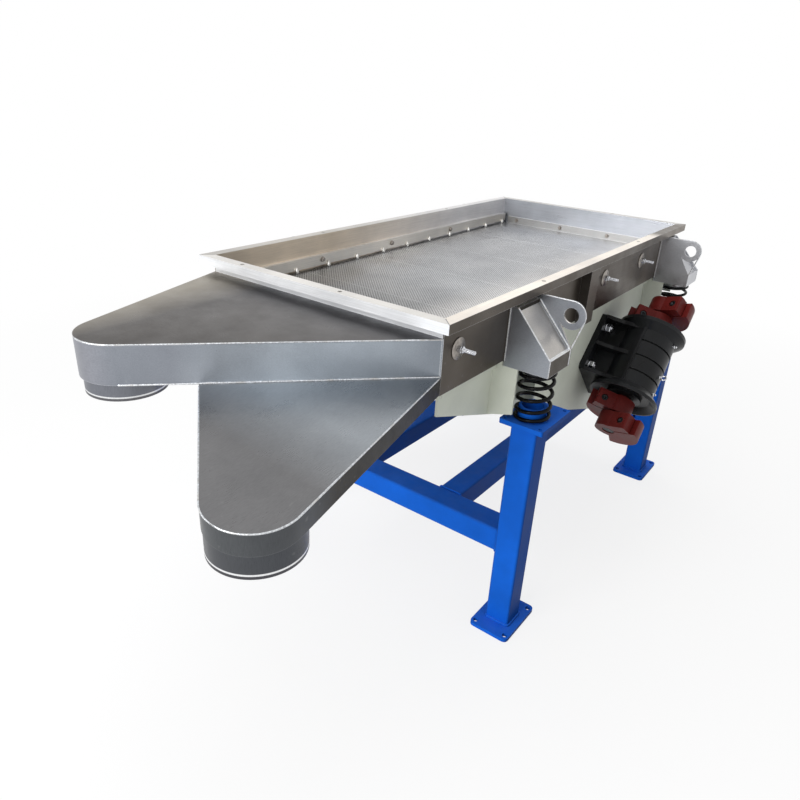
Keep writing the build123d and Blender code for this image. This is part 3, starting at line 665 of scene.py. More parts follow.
LOWER_BEND = (-1161.0, 246.9)
OUTLET_CORNER = (-986.0, -395.0)
FAR_CORNER = (-986.0, 395.0)
BEAD_STEP = 3.0
EDGE_BEAD = 1.9
EDGE_DROP = 1.2             # how far an edge bead's middle lies below the cover's top
EDGE_RIPPLE = 0.02
EDGE_GAP, SEAM_GAP = 3, 4   # from the box's corner to where the beads start
SEAM_BEAD = 2.4
SEAM_RIPPLE = 0.04
RIM_BEAD = 1.3
RIM_BEAD_DROP = 0.4
TIP_IN = 0.05               # the chutes' beads end this far inside the CAD's box
RIM_OVER = 0.1              # the rim's beads end this far over its top
SPRING_X = 613.0
BRACKET_HALF_WIDTH = 66.0
SPRING_OUTER_R = 51.8
SPRING_TURNS = 5.1
SPRING_START = math.radians(77)
SPRING_CLOSE = 0.3          # share by which the pitch falls at the ends
BRACKET_LOW = 880.0
BRACKET_FACE_TOP = 926.0
BRACKET_TOP = 1046.0
BRACKET_FRONT = -525.0
BRACKET_SLOPE_Y = -417.0
LUG_X = 550.0
LUG_PLACE = (-512.0, 1018.0)
LUG_REACH = 38.2
LUG_BEAD = 2.4
WALL_BEAD = 3.0
WALL_BEAD_OUT = 1.5
PLATE_BEAD = 2.1
PLATE_IN = 0.8              # how far a plate's bead lies inside its edge
PLATE_INSET = 2.4           # from the plate's outer face
INNER_PLATE = 2.9           # times that, for the plate nearer the box's middle
LEG_X, LEG_Y = 619.0, 470.0
FOOT_TOP = 12.0
SEAT_UNDERSIDE = 711.0
BEAM_HEIGHT = 300.0
CROSSBEAM_X = 603.0
LONG_BEAM_Y = 198.0
LEG_WELD = (41.0, 41.0, 9.0)            # half widths and corner of the beads' paths
CROSSBEAM_WELD = (45.8, 40.8, 8.0)
LONG_BEAM_WELD = (40.8, 40.8, 8.0)
LEG_FACE, CROSSBEAM_FACE = 41.5, 46.5   # from a tube's middle to the bead on its face
LEG_BEAD, CROSSBEAM_BEAD, LONG_BEAM_BEAD = 4.0, 3.6, 3.4
STAND_RIPPLE = 0.12
MOTOR_PLACE = (131.0, -363.0, 672.0)
MOTOR_HEIGHT = 157.0
BARREL_R = 92.0
FOOT_BOLT_ALONG, FOOT_BOLT_ACROSS = 80.0, 74.0
FOOT_FACE, PANEL_BACK = 20.0, -9.0      # the faces that the bolts' washers lie on
FOOT_WASHER = (18.0, 3.0)
FOOT_NUT, FOOT_HEAD = (30.0, 15.0), (30.0, 10.0)
FOOT_THREAD = (9.5, 2.5, 5.0)           # radius, pitch and length
FOOT_THREAD_START = 37.5
EYE_TURN, EYE_PLACE, EYE_HEIGHT = 80, -29, 107
EYE_AXIS = (0.35, 0.94, 0)
EYE_R, EYE_WIRE = 9.5, 2.5
ROTOR_REACH = 269.0
SHAFT_END_INSET = 3.2
WEIGHT_START = 147.0
WEIGHT_PITCH = 64.0
WEIGHT_THICKNESS = 58.0
WEIGHT_TURN = math.radians(45)
SLIT_TURN = math.radians(-21)
CAP_SCREW_PLACE = (62.0, 31.6, 29.0)

# Turned shapes, as radius and height

PEG = [(0.4, 0), (4.2, 0.5), (6.0, 3), (6.2, 7), (5.0, 12), (3.2, 17), (0.3, 21)]
FLAT_HEAD = [(6.5, 0), (6.5, 0.2), (5.6, 0.45), (3.2, 0.5), (2.8, 0.3), (0.3, 0.3)]
GLAND = [(11, 0), (11, 5), (9, 6), (9, 12), (11, 13), (11, 22), (9, 25), (4, 26)]
NIPPLE = [(6, 0), (6, 7), (4, 9), (4, 13), (2.5, 15), (0.3, 15.5)]
SHANK = [(5, 0), (5, 3), (4, 5), (0.3, 6)]
CAP_SCREW = [(10.2, 0), (10.2, 8.2), (9.4, 9), (5.2, 9), (4.9, 3.4), (0.3, 3.2)]
SHAFT_END = [(20.5, 0), (20.5, 0.9), (19.8, 1.4), (5.5, 1.4), (3.4, 0.7), (0.3, 0.6)]


def sided(points, side):
    """Points worked out for the near side, put on the near (-1) or the far (1) side."""
    points = np.array(points, float)
    if side > 0:
        points[..., 1] *= -1
    return points


def side_parts(parts, side, made):
    """Adds a surface worked out for the near side, turned right side out on the far one."""
    points, faces = made
    if side > 0:
        faces = [f[:, ::-1] for f in faces]
    parts.add(sided(points, side), faces)


def touch_point(point, centre, radius, turn):
    """Where the line from a point touches a circle, on the side given by turn."""
    dx, dy = centre[0] - point[0], centre[1] - point[1]
    distance = math.hypot(dx, dy)
    angle = math.atan2(dy, dx) + turn * math.asin(radius / distance)
    reach = math.sqrt(distance ** 2 - radius ** 2)
    return (point[0] + reach * math.cos(angle), point[1] + reach * math.sin(angle))


def round_tip(bend, far_bend, outlet, radius, steps=40):
    """Plan points round a chute's tip, from the line out of one bend to the line out of another.

    Point = outlet + radius (cos a, sin a), with a from the first touching point to the last.
    """
    start = touch_point(bend, outlet, radius, 1)
    stop = touch_point(far_bend, outlet, radius, -1)
    first = math.atan2(start[1] - outlet[1], start[0] - outlet[0])
    last = math.atan2(stop[1] - outlet[1], stop[0] - outlet[0])
    sweep = (last - first) % (2 * math.pi) - 2 * math.pi
    angle = first + np.linspace(0, 1, steps) * sweep
    return np.stack([outlet[0] + radius * np.cos(angle), outlet[1] + radius * np.sin(angle)], -1)


def seam_fall(plan):
    """The height of the lower cover, level up to the seam and then falling, and the way past it."""
    a = np.array(OUTLET_CORNER)
    b = np.array(touch_point(OUTLET_CORNER, UPPER_OUTLET, UPPER_TIP_R, 1))
    along = (b - a) / np.linalg.norm(b - a)
    across = np.array([-along[1], along[0]])
    away = (np.asarray(plan) - a) @ across
    return CHUTE_FLOOR - LOWER_SLOPE * np.maximum(away, 0), away


def motor_points(points):
    """Points in a motor's own frame, along its shaft, across and out, put on the near side."""
    c = math.sqrt(0.5)
    frame_rows = np.array(((c, 0, c), (-c, 0, c), (0, -1, 0)))
    return np.asarray(points, float) @ frame_rows + np.array(MOTOR_PLACE)


def motor_parts(parts, side, made):
    """Adds a surface worked out in a motor's own frame to the motor on one side."""
    points, faces = made
    side_parts(parts, side, (motor_points(points), faces))


def strip_screw(base, out, turn):
    """The washer and the head of a screw through a clamp strip."""
    return (washer(SCREW_WASHER_R, SCREW_WASHER, base, out),
            hex_head(*SCREW_HEAD, base + SCREW_WASHER * out, out, turn))


def sheet_panel(x0, x1, y0, y1, z0, z1, columns, rows, hole_r):
    """A closed strip of perforated sheet.

    Lattice points lie at (i, j) half steps; holes sit where i + j is even and the corners of
    their diamond cells where it is odd. Each hole is a ring of six points,
    centre + hole_r * (cos, sin)(60 degrees * k), joined to its four corners, and two triangles
    close each gap along the strip's edges. The two faces are joined through every hole and
    round the outside.
    """
    hx, hy = (x1 - x0) / columns, (y1 - y0) / rows
    i, j = np.meshgrid(np.arange(columns + 1), np.arange(rows + 1), indexing="ij")
    odd = (i + j) % 2 == 1
    number = np.full(i.shape, -1)
    number[odd] = np.arange(odd.sum())
    corners = np.stack([x0 + i[odd] * hx, y0 + j[odd] * hy], -1)
    inner = ~odd & (i > 0) & (i < columns) & (j > 0) & (j < rows)
    ci, cj = i[inner], j[inner]
    angle = np.arange(6) * math.pi / 3
    ring = np.stack([x0 + ci[:, None] * hx + hole_r * np.cos(angle),
                     y0 + cj[:, None] * hy + hole_r * np.sin(angle)], -1)
    start = len(corners)
    r = start + np.arange(len(ci))[:, None] * 6 + np.arange(6)
    east, west = number[ci + 1, cj], number[ci - 1, cj]
    north, south = number[ci, cj + 1], number[ci, cj - 1]
    quads = [np.stack(q, -1) for q in (
        (east, north, r[:, 1], r[:, 0]), (north, west, r[:, 3], r[:, 2]),
        (west, south, r[:, 4], r[:, 3]), (south, east, r[:, 0], r[:, 5]))]
    threes = [np.stack(t, -1) for t in (
        (north, r[:, 2], r[:, 1]), (south, r[:, 5], r[:, 4]))]
    edges = []
    for fixed, is_x in ((0, True), (columns, True), (0, False), (rows, False)):
        span = rows if is_x else columns
        at = np.arange(1, span)
        at = at[(at + fixed) % 2 == 0]
        inside = 1 if fixed == 0 else fixed - 1
        if is_x:
            tri = np.stack([number[fixed, at - 1], number[fixed, at + 1], number[inside, at]], -1)
            tri = tri if fixed else tri[:, ::-1]
        else:
            tri = np.stack([number[at - 1, fixed], number[at + 1, fixed], number[at, inside]], -1)
            tri = tri[:, ::-1] if fixed else tri
        edges.append(tri)
    plan = np.concatenate([corners, ring.reshape(-1, 2)])
    ends = np.array([(x0, y0), (x1, y0), (x1, y1), (x0, y1)])
    border = []
    for fixed, is_x in ((0, False), (columns, True), (rows, False), (0, True)):
        line = number[fixed, :] if is_x else number[:, fixed]
        line = line[line >= 0]
        border.append(line if fixed == 0 and not is_x or fixed == columns and is_x else line[::-1])
    tri_corner = []
    loop = []
    for k, line in enumerate(border):
        loop += list(line)
        after = border[(k + 1) % 4]
        extra = len(plan) + (k + 1) % 4
        loop.append(extra)
        tri_corner.append((line[-1], extra, after[0]))
    loop = np.array(loop)
    plan = np.concatenate([plan, ends])
    count = len(plan)
    high = np.column_stack([plan, np.full(count, z1)])
    low = np.column_stack([plan, np.full(count, z0)])
    all_threes = np.concatenate(threes + edges + [np.array(tri_corner)])
    all_quads = np.concatenate(quads)
    walls = np.concatenate([
        np.stack([r[:, k], r[:, (k + 1) % 6], r[:, (k + 1) % 6] + count, r[:, k] + count], -1)
        for k in range(6)])
    outside = np.stack([np.roll(loop, -1), loop, loop + count, np.roll(loop, -1) + count], -1)
    faces = [all_quads, all_quads[:, ::-1] + count, walls, outside,
             all_threes, all_threes[:, ::-1] + count]
    return np.concatenate([high, low]), faces


# Operators

class ScreenSettings(bpy.types.PropertyGroup):
    """Colours and sizes that a user would change."""

    blue: bpy.props.FloatVectorProperty(
        name="Stand paint", description="Colour of the stand", subtype="COLOR",
        default=(0.008, 0.14, 0.72), min=0.0, max=1.0)
    cream: bpy.props.FloatVectorProperty(
        name="Panel paint", description="Colour of the side panels", subtype="COLOR",
        default=(0.66, 0.69, 0.6), min=0.0, max=1.0)
    red: bpy.props.FloatVectorProperty(
        name="Weight paint", description="Colour of the motor weights", subtype="COLOR",
        default=(0.135, 0.014, 0.012), min=0.0, max=1.0)
    hole_pitch: bpy.props.FloatProperty(
        name="Hole pitch", description="Distance between neighbouring holes of the deck",
        default=0.0072, min=0.004, max=0.05, unit="LENGTH")
    hole_size: bpy.props.FloatProperty(
        name="Hole size", description="Width of a hole of the deck",
        default=0.0042, min=0.001, max=0.04, unit="LENGTH")
    stud_size: bpy.props.FloatProperty(
        name="Stud size", description="Thread diameter of the clamping studs",
        default=0.010, min=0.006, max=0.03, unit="LENGTH")
    spring_wire: bpy.props.FloatProperty(
        name="Spring wire", description="Thickness of the spring wire",
        default=0.011, min=0.004, max=0.03, unit="LENGTH")


class SCREEN_OT_finish(bpy.types.Operator):
    """Give every solid of the frame its finish"""

    bl_idname = "screen.finish"
    bl_label = "Finish the frame"

    def execute(self, context):
        make_materials(context.scene.screen_settings)
        for name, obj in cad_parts.items():
            finish = next(f for part, f in NODE_FINISH if part in name)
            obj.data.materials.clear()
            obj.data.materials.append(MATERIALS[finish])
        return {"FINISHED"}


class SCREEN_OT_deck(bpy.types.Operator):
    """Lay the perforated sheets of the deck, in strips, in place of the plain deck"""

    bl_idname = "screen.deck"
    bl_label = "Perforated deck"

    def execute(self, context):
        settings = context.scene.screen_settings
        low, high = (np.asarray(v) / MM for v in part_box("screen_deck"))
        step = settings.hole_pitch / MM / math.sqrt(2)
        (x0, y0), (x1, y1) = low[:2] + DECK_MARGIN, high[:2] - DECK_MARGIN
        columns = 2 * int((high[0] - low[0] - 2 * DECK_MARGIN) / DECK_STRIPS / step / 2)
        rows = 2 * int((high[1] - low[1] - 2 * DECK_MARGIN) / step / 2)
        lines = np.linspace(x0, x1, DECK_STRIPS + 1)
        for n in range(DECK_STRIPS):
            parts = Parts()
            parts.add(*sheet_panel(lines[n], lines[n + 1], y0, y1, low[2] + DECK_SHEET_LIFT,
                                   high[2], columns, rows, settings.hole_size / MM / 2))
            piece = add_piece(f"deck_sheet_{n + 1}", parts, "deck", "screen", False)
            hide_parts("screen_deck")
        inner = np.array([(x0, y0), (x1, y0), (x1, y1), (x0, y1)])
        outer = np.array([(low[0], low[1]), (high[0], low[1]), (high[0], high[1]),
                          (low[0], high[1])])
        rings = [np.column_stack([ring, np.full(4, z)]) for ring, z in (
            (outer, low[2]), (outer, high[2] - DECK_EDGE_CUT),
            (outer * DECK_EDGE_SHARE, high[2]), (inner, high[2]), (inner, low[2]))]
        parts = Parts()
        parts.add(np.concatenate(rings), [grid_faces(5, 4, True, True)])
        piece = add_piece("deck_border", parts, "deck", "screen", False)
        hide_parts("screen_deck")
        return {"FINISHED"}


class SCREEN_OT_studs(bpy.types.Operator):
    """Fit the clamping studs through both side walls: washer, nut and threaded end"""

    bl_idname = "screen.studs"
    bl_label = "Clamping studs"

    def execute(self, context):
        out = (0, -1, 0)
        plates, bright = Parts(), Parts()
        r = context.scene.screen_settings.stud_size / MM / 2
        for side in (-1, 1):
            for n, x in enumerate(STUD_PLACES):
                base = np.array((x, -WALL_Y, STUD_HEIGHT))
                side_parts(plates, side, washer(*STUD_WASHER, base + (0, SUNK, 0), out))
                for made in (hex_head(*STUD_NUT, base + (0, -NUT_OUT, 0), out, 0.4 + 0.5 * n),
                             washer(*STUD_COLLAR, base + (0, -COLLAR_OUT, 0), out),
                             threaded_rod(r, *STUD_THREAD, base + (0, -THREAD_OUT, 0), out, 14)):
                    side_parts(bright, side, made)
        add_piece("stud_washers", plates, "dull", "screen")
        add_piece("stud_nuts", bright, "bright", "screen", False)
        return {"FINISHED"}


class SCREEN_OT_clamps(bpy.types.Operator):
    """Fit the pegs under the clamp strips and the screws through them and the feed strip"""

    bl_idname = "screen.clamps"
    bl_label = "Clamp strip fixings"

    def execute(self, context):
        pegs, screws = Parts(), Parts()
        inward, to_outlet = np.array((0, 1, 0)), np.array((-1, 0, 0))
        for side in (-1, 1):
            for x in PEG_PLACES:
                base = (x, -STRIP_FACE_Y + PEG_OUT, DECK_TOP - PEG_SUNK)
                side_parts(pegs, side, turned(PEG, base, PEG_WAY, 14))
            for x in STRIP_SCREW_PLACES:
                base = (x, -STRIP_FACE_Y - SUNK, STRIP_SCREW_HEIGHT)
                for made in strip_screw(base, inward, 0.3):
                    side_parts(screws, side, made)
        for n, y in enumerate(FEED_SCREW_PLACES):
            base = (FEED_FACE_X + SUNK, y, FEED_SCREW_HEIGHT)
            for made in strip_screw(base, to_outlet, 0.2 * n):
                screws.add(*made)
        for x, y in RIM_SCREW_PLACES:
            screws.add(*turned(FLAT_HEAD, (x, y, RIM_TOP - PEG_SUNK), (0, 0, 1), 20))
        add_piece("clamp_pegs", pegs, "peg", "screen")
        add_piece("clamp_screws", screws, "dull", "screen", False)
        return {"FINISHED"}


class SCREEN_OT_chute_welds(bpy.types.Operator):
    """Run the ground weld beads along the edges and seams of both chutes"""

    bl_idname = "screen.chute_welds"
    bl_label = "Chute welds"

    def execute(self, context):
        parts = Parts()
        arc = round_tip(OUTLET_CORNER, FAR_CORNER, UPPER_OUTLET, UPPER_TIP_R)
        plan = np.concatenate([[OUTLET_CORNER], arc[:len(arc) // 2]])
        plan[0, 0] -= EDGE_GAP
        top = np.column_stack([plan, np.full(len(plan), UPPER_TOP - EDGE_DROP)])
        parts.add(*bead(top, EDGE_BEAD, BEAD_STEP, EDGE_RIPPLE, 1))
        tip = round_tip(OUTLET_CORNER, LOWER_BEND, LOWER_OUTLET, LOWER_TIP_R)
        plan, _ = resampled(np.concatenate([[OUTLET_CORNER], tip, [LOWER_BEND]]), 8.0)
        height, away = seam_fall(plan)
        edge = np.column_stack([plan, height - EDGE_DROP])[away > 1.0]
        parts.add(*bead(edge, EDGE_BEAD, BEAD_STEP, EDGE_RIPPLE, 2))
        near = touch_point(OUTLET_CORNER, UPPER_OUTLET, UPPER_TIP_R, 1)
        seam = np.array([(*OUTLET_CORNER, CHUTE_FLOOR + 1), (*near, CHUTE_FLOOR + 1)])
        seam[0, 0] -= SEAM_GAP
        parts.add(*bead(seam, SEAM_BEAD, BEAD_STEP, SEAM_RIPPLE, 3))
        for points in parts.points:
            np.maximum(points[:, 0], CAD_BOX[0][0] / MM + TIP_IN, out=points[:, 0])
        rough = Parts()
        for end, side in ((-1, -1), (-1, 1), (1, -1), (1, 1)):
            inner = FEED_WALL_X if end > 0 else OUTLET_CORNER[0]
            corner = np.array((inner, side * WALL_Y, RIM_TOP - RIM_BEAD_DROP))
            line = [corner, corner + (end * RIM_WIDTH, side * RIM_WIDTH, 0)]
            rough.add(*bead(line, RIM_BEAD, BEAD_STEP / 2, 0.4, int(1000 + inner + side)))
        for points in rough.points:
            np.minimum(points[:, 2], CAD_BOX[1][2] / MM + RIM_OVER, out=points[:, 2])
        add_piece("seam_welds", rough, "joint", "screen")
        add_piece("chute_welds", parts, "weld", "screen")
        return {"FINISHED"}


class SCREEN_OT_bracket_welds(bpy.types.Operator):
    """Weld the spring brackets to the side walls and grind the edges of their plates"""

    bl_idname = "screen.bracket_welds"
    bl_label = "Bracket welds"

    def execute(self, context):
        rough, ground = Parts(), Parts()
        angle = np.radians(np.linspace(90, 200, 30))
        for end in (-1, 1):
            for side in (-1, 1):
                for n, x in enumerate((end * SPRING_X - BRACKET_HALF_WIDTH,
                                       end * SPRING_X + BRACKET_HALF_WIDTH)):
                    seed = 20 + n + 2 * (end > 0) + 4 * (side > 0)
                    line = [(x, -WALL_Y - WALL_BEAD_OUT, BRACKET_LOW + 14),
                            (x, -WALL_Y - WALL_BEAD_OUT, BRACKET_TOP - 1)]
                    side_parts(rough, side, bead(line, WALL_BEAD, 2.5, 0.3, seed))
                    x += (1 if n == 0 else -1) * PLATE_INSET * (
                        INNER_PLATE if (n == 1) == (end < 0) else 1)
                    edge = [(x, BRACKET_FRONT + PLATE_IN, BRACKET_LOW + 1),
                            (x, BRACKET_FRONT + PLATE_IN, BRACKET_FACE_TOP),
                            (x, BRACKET_SLOPE_Y + PLATE_IN, BRACKET_TOP - PLATE_IN)]
                    side_parts(ground, side,
                               bead(edge, PLATE_BEAD, BEAD_STEP, SEAM_RIPPLE, seed + 40))
                x = end * LUG_X
                arc = np.column_stack([np.full(30, x), LUG_PLACE[0] + LUG_REACH * np.cos(angle),
                                       LUG_PLACE[1] + LUG_REACH * np.sin(angle)])
                path = np.concatenate([[(x, -WALL_Y - 30, LUG_PLACE[1] + LUG_REACH)], arc,
                                       [(x, BRACKET_FRONT + 0.5, BRACKET_FACE_TOP + 2)]])
                side_parts(ground, side, bead(path, LUG_BEAD, BEAD_STEP, 0.03, 70))
        add_piece("wall_welds", rough, "joint", "screen")
        add_piece("ground_edges", ground, "weld", "screen")
        return {"FINISHED"}


def square_loop(x, y, z, half_x, half_y, corner):
    """A closed path round a tube with rounded corners, level at one height."""
    t = np.radians(np.arange(0, 90.1, 15))
    pieces = []
    for k, (sx, sy) in enumerate(((1, 1), (-1, 1), (-1, -1), (1, -1))):
        angle = t + k * math.pi / 2
        pieces.append(np.stack([x + sx * (half_x - corner) + corner * np.cos(angle),
                                y + sy * (half_y - corner) + corner * np.sin(angle),
                                np.full(len(t), z)], -1))
    path = np.concatenate(pieces)
    return np.concatenate([path, path[:1]])


class SCREEN_OT_stand_welds(bpy.types.Operator):
    """Weld the legs to their feet and seats, and the beams to one another, under the paint"""

    bl_idname = "screen.stand_welds"
    bl_label = "Stand welds"

    def execute(self, context):
        parts = Parts()
        seed = 100
        for end in (-1, 1):
            for side in (-1, 1):
                for z in (FOOT_TOP + 2, SEAT_UNDERSIDE - 1.5):
                    loop = square_loop(end * LEG_X, side * LEG_Y, z, *LEG_WELD)
                    parts.add(*bead(loop, LEG_BEAD, BEAD_STEP, STAND_RIPPLE, seed))
                    seed += 1
                loop = square_loop(end * CROSSBEAM_X, BEAM_HEIGHT, 0, *CROSSBEAM_WELD)
                y = side * (LEG_Y - LEG_FACE)
                loop = np.column_stack([loop[:, 0], np.full(len(loop), y), loop[:, 1]])
                parts.add(*bead(loop, CROSSBEAM_BEAD, BEAD_STEP, STAND_RIPPLE, seed))
                loop = square_loop(side * LONG_BEAM_Y, BEAM_HEIGHT, 0, *LONG_BEAM_WELD)
                x = end * (CROSSBEAM_X - CROSSBEAM_FACE)
                loop = np.column_stack([np.full(len(loop), x), loop[:, 0], loop[:, 1]])
                parts.add(*bead(loop, LONG_BEAM_BEAD, BEAD_STEP, STAND_RIPPLE, seed + 1))
                seed += 2
        add_piece("stand_welds", parts, "blue", "stand")
        return {"FINISHED"}


class SCREEN_OT_springs(bpy.types.Operator):
    """Wind the coil springs, each in place of its plain spring solid"""

    bl_idname = "screen.springs"
    bl_label = "Springs"

    def execute(self, context):
        wire = context.scene.screen_settings.spring_wire / MM / 2
        for node in sorted(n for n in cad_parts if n.endswith("_spring")):
            low, high = (np.asarray(corner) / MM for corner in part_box(node))
            parts = Parts()
            parts.add(*coil((low + high) / 2, SPRING_OUTER_R, low[2], high[2], wire,
                            SPRING_TURNS, SPRING_START, SPRING_CLOSE))
            piece = add_piece(f"{node}_coil", parts, "spring", None)
            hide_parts(node)
            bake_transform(piece)
        return {"FINISHED"}


class SCREEN_OT_motor_bolts(bpy.types.Operator):
    """Bolt both motors down and fit their glands and grease nipples"""

    bl_idname = "screen.motor_bolts"
    bl_label = "Motor fixings"

    def execute(self, context):
        bright, dark = Parts(), Parts()
        out, back = (0, 0, 1), (0, 0, -1)
        nut_face = FOOT_FACE + FOOT_WASHER[1]
        for side in (-1, 1):
            for s in (-FOOT_BOLT_ALONG, FOOT_BOLT_ALONG):
                for l in (-FOOT_BOLT_ACROSS, FOOT_BOLT_ACROSS):
                    for made in (
                            washer(*FOOT_WASHER, (s, l, FOOT_FACE), out),
                            hex_head(*FOOT_NUT, (s, l, nut_face), out, 0.3 + s),
                            threaded_rod(*FOOT_THREAD, (s, l, FOOT_THREAD_START), out),
                            washer(*FOOT_WASHER, (s, l, PANEL_BACK), out),
                            hex_head(*FOOT_HEAD, (s, l, PANEL_BACK), back, 0.6)):
                        motor_parts(bright, side, made)
            for degrees, s, profile, target in (
                    (165, -62, GLAND, dark), (80, -98, NIPPLE, bright), (80, 98, NIPPLE, bright),
                    (EYE_TURN, EYE_PLACE, SHANK, bright)):
                a = math.radians(degrees)
                way = (0, math.cos(a), math.sin(a))
                base = (s, BARREL_R * way[1], MOTOR_HEIGHT + BARREL_R * way[2])
                motor_parts(target, side, turned(profile, base, way, 18))
            a = math.radians(EYE_TURN)
            centre = (EYE_PLACE, EYE_HEIGHT * math.cos(a), MOTOR_HEIGHT + EYE_HEIGHT * math.sin(a))
            motor_parts(bright, side, eye_ring(centre, EYE_AXIS, EYE_R, EYE_WIRE))
        add_piece("motor_bolts", bright, "bright", "screen", False)
        add_piece("motor_glands", dark, "oxide", "screen")
        return {"FINISHED"}


def weight_place(points, way, place):
    """Points in a weight's own section frame, put into its motor's frame.

    A weight is drawn at x, y with its thickness on z and then turned by 45 degrees. The inner
    one of each pair is its mirror image. The section lies square to the shaft.
    """
    near = WEIGHT_START + place * WEIGHT_PITCH
    outer = max(way * near, way * (near + WEIGHT_THICKNESS))
    points = np.array(points, float)
    turn = WEIGHT_TURN
    if place == 0:
        points[:, 0] *= -1
        turn = -turn
    c, s = math.cos(turn), math.sin(turn)
    x = c * points[:, 0] - s * points[:, 1]
    y = s * points[:, 0] + c * points[:, 1]
    return np.column_stack([outer - points[:, 2], y, MOTOR_HEIGHT + x])


class SCREEN_OT_weight_bolts(bpy.types.Operator):
    """Fit the pinch bolts of the motor weights and the bright ends of the shafts"""

    bl_idname = "screen.weight_bolts"
    bl_label = "Weight bolts"

    def execute(self, context):
        c, s = math.cos(SLIT_TURN), math.sin(SLIT_TURN)
        for side, body in ((-1, "near_rotor"), (1, "far_rotor")):
            caps, discs = Parts(), Parts()
            for way in (-1, 1):
                for place in (0, 1):
                    points, faces = turned(CAP_SCREW, (0, 0, 0), (0, 1, 0), 20)
                    points = np.asarray(points).reshape(-1, 3) + CAP_SCREW_PLACE
                    points = np.column_stack([c * points[:, 0] - s * points[:, 1],
                                              s * points[:, 0] + c * points[:, 1],
                                              points[:, 2]])
                    if place == 0:
                        faces = [f[:, ::-1] for f in faces]
                    motor_parts(caps, side, (weight_place(points, way, place), faces))
                base = (way * (ROTOR_REACH - SHAFT_END_INSET), 0, MOTOR_HEIGHT)
                motor_parts(discs, side, turned(SHAFT_END, base, (way, 0, 0), 28))
            name = body.split("_")[0]
            add_piece(f"{name}_weight_bolts", caps, "oxide", body)
            add_piece(f"{name}_shaft_ends", discs, "oxide", body)
        return {"FINISHED"}


class SCREEN_OT_stage(bpy.types.Operator):
    """Set the floor, the lights and the camera"""

    bl_idname = "screen.stage"
    bl_label = "Stage"

    def execute(self, context):
        add_floor()
        add_world(context.scene)
        add_lights()
        add_camera(context.scene)
        context.scene.view_settings.view_transform = "Standard"
        return {"FINISHED"}


FLOOR_REACH = 30.0
FLOOR_FADE = (1.2, 3.6)     # from here to there, in metres, the floor turns
FLOOR_WHITE = (0.8, 1.0)    # from this share of plain white to that
LAMP_AIM = (0, 0, 0.7)


def seen_or_mirrored(tree):
    """1 for what the camera, a polished face or a clear one looks at, otherwise 0."""
    path = add_node(tree, "ShaderNodeLightPath")
    either = maths(tree, "MAXIMUM", path.outputs["Is Camera Ray"], path.outputs["Is Glossy Ray"])
    return maths(tree, "MAXIMUM", either, path.outputs["Is Transmission Ray"])


def add_floor():
    """A wide pale floor that shows white and keeps the machine's shadow.

    Where it is looked at, it is mixed with plain white, wholly so far from the machine.
    """
    r = FLOOR_REACH
    points = np.array([(-r, -r, 0), (r, -r, 0), (r, r, 0), (-r, r, 0)])
    mesh = mesh_from("floor", points, [np.arange(4)[None]], smooth=False)
    floor = bpy.data.objects.new("floor", mesh)
    bpy.context.scene.collection.objects.link(floor)
    material, tree, shader = new_material("floor")
    cloud = object_noise(tree, 0.7, detail=2.0)
    tree.links.new(ramp(tree, cloud, 0.3, 0.7, ((0.9, 0.9, 0.9), (0.93, 0.93, 0.93))),
                   shader.inputs["Base Color"])
    shader.inputs["Roughness"].default_value = 0.9
    white = add_node(tree, "ShaderNodeEmission")
    white.inputs["Color"].default_value = (1, 1, 1, 1)
    white.inputs["Strength"].default_value = 1.0
    coords = add_node(tree, "ShaderNodeTexCoord")
    length = add_node(tree, "ShaderNodeVectorMath", operation="LENGTH")
    tree.links.new(coords.outputs["Object"], length.inputs[0])
    fade = add_node(tree, "ShaderNodeMapRange")
    fade.inputs["From Min"].default_value = FLOOR_FADE[0]
    fade.inputs["From Max"].default_value = FLOOR_FADE[1]
    fade.inputs["To Min"].default_value = FLOOR_WHITE[0]
    fade.inputs["To Max"].default_value = FLOOR_WHITE[1]
    tree.links.new(length.outputs["Value"], fade.inputs["Value"])
    share = maths(tree, "MULTIPLY", fade.outputs["Result"], seen_or_mirrored(tree))
    blend = add_node(tree, "ShaderNodeMixShader")
    tree.links.new(share, blend.inputs[0])
    tree.links.new(shader.outputs[0], blend.inputs[1])
    tree.links.new(white.outputs[0], blend.inputs[2])
    tree.links.new(blend.outputs[0], tree.nodes["Material Output"].inputs["Surface"])
    mesh.materials.append(material)


def add_world(scene):
    """A white surround where the camera or a polished face looks at it, and plain light."""
    world = bpy.data.worlds.new("surround")
    scene.world = world
    world.use_nodes = True
    tree = world.node_tree
    background = tree.nodes["Background"]
    strength = add_node(tree, "ShaderNodeMapRange")
    strength.inputs["To Min"].default_value = 0.5
    strength.inputs["To Max"].default_value = 1.0
    tree.links.new(seen_or_mirrored(tree), strength.inputs["Value"])
    tree.links.new(strength.outputs["Result"], background.inputs["Strength"])
    background.inputs["Color"].default_value = (1, 1, 1, 1)


def add_lights():
    """A large soft lamp on the outlet side, and a weaker one above."""
    for name, place, size, power in (
        ("key", (-4.2, 0.4, 2.6), 2.5, 120.0),
        ("top", (0.4, 0.8, 4.0), 3.0, 70.0),
    ):
        data = bpy.data.lights.new(name, "AREA")
        data.size = size
        data.energy = power
        lamp = bpy.data.objects.new(name, data)
        bpy.context.scene.collection.objects.link(lamp)
        lamp.location = place
        lamp.visible_glossy = name == "key"
        aim = -np.asarray(place) + np.array(LAMP_AIM)
        side, up, d = axes_for(-aim)
        lamp.matrix_world = Matrix((
            (side[0], up[0], d[0], place[0]), (side[1], up[1], d[1], place[1]),
            (side[2], up[2], d[2], place[2]), (0, 0, 0, 1)))


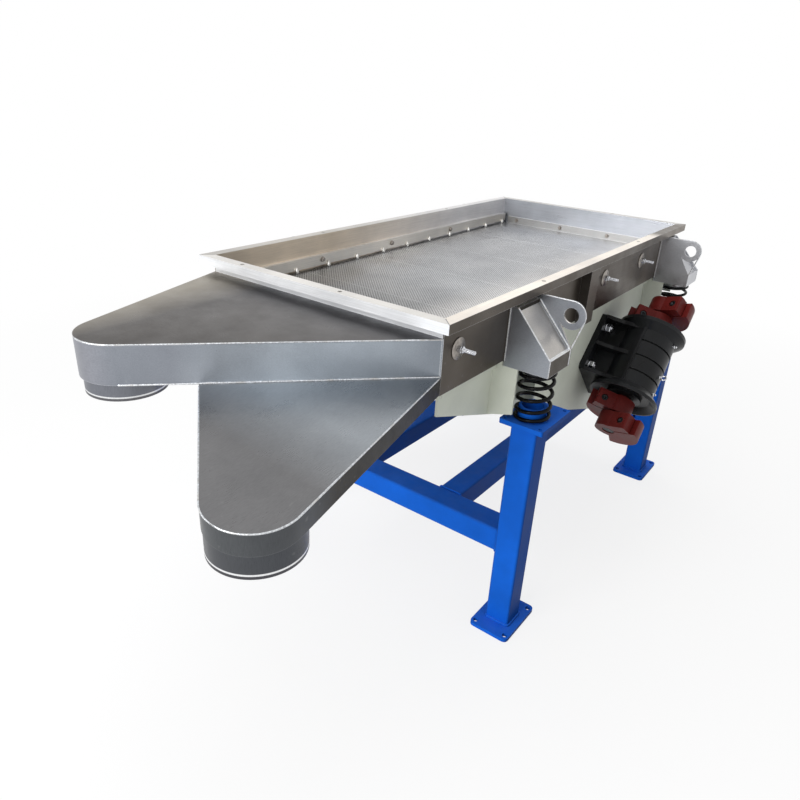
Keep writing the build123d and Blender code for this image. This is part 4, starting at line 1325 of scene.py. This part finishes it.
def add_camera(scene):
    """The camera where the photograph was taken."""
    data = bpy.data.cameras.new("camera")
    data.sensor_width = SENSOR_WIDTH
    data.lens = CAMERA_LENS
    data.clip_end = 200.0
    camera = bpy.data.objects.new("camera", data)
    scene.collection.objects.link(camera)
    forward = np.asarray(CAMERA_FORWARD) / np.linalg.norm(CAMERA_FORWARD)
    right = np.asarray(CAMERA_RIGHT) / np.linalg.norm(CAMERA_RIGHT)
    up = np.cross(right, forward)
    camera.matrix_world = Matrix((
        (right[0], up[0], -forward[0], CAMERA_PLACE[0]),
        (right[1], up[1], -forward[1], CAMERA_PLACE[1]),
        (right[2], up[2], -forward[2], CAMERA_PLACE[2]), (0, 0, 0, 1)))
    scene.camera = camera


class SCREEN_PT_panel(bpy.types.Panel):
    """The sidebar panel of the screen"""

    bl_label = "Vibrating screen"
    bl_idname = "SCREEN_PT_panel"
    bl_space_type = "VIEW_3D"
    bl_region_type = "UI"
    bl_category = "Screen"

    def draw(self, context):
        settings = context.scene.screen_settings
        for name in ("blue", "cream", "red", "hole_pitch", "hole_size", "stud_size",
                     "spring_wire"):
            self.layout.prop(settings, name)
        for operator in OPERATORS:
            self.layout.operator(operator.bl_idname)


OPERATORS = (
    SCREEN_OT_finish, SCREEN_OT_deck, SCREEN_OT_studs, SCREEN_OT_clamps, SCREEN_OT_chute_welds,
    SCREEN_OT_bracket_welds, SCREEN_OT_stand_welds, SCREEN_OT_springs, SCREEN_OT_motor_bolts,
    SCREEN_OT_weight_bolts, SCREEN_OT_stage,
)
CLASSES = (ScreenSettings, *OPERATORS, SCREEN_PT_panel)


def register():
    """Registers the classes and the settings."""
    for made in CLASSES:
        bpy.utils.register_class(made)
    bpy.types.Scene.screen_settings = bpy.props.PointerProperty(type=ScreenSettings)


def unregister():
    """Takes the classes and the settings away again."""
    del bpy.types.Scene.screen_settings
    for made in reversed(CLASSES):
        bpy.utils.unregister_class(made)


def main():
    """Builds everything."""
    register()
    for operator in OPERATORS:
        getattr(bpy.ops.screen, operator.bl_idname.split(".")[1])()


if __name__ == "__main__":
    main()
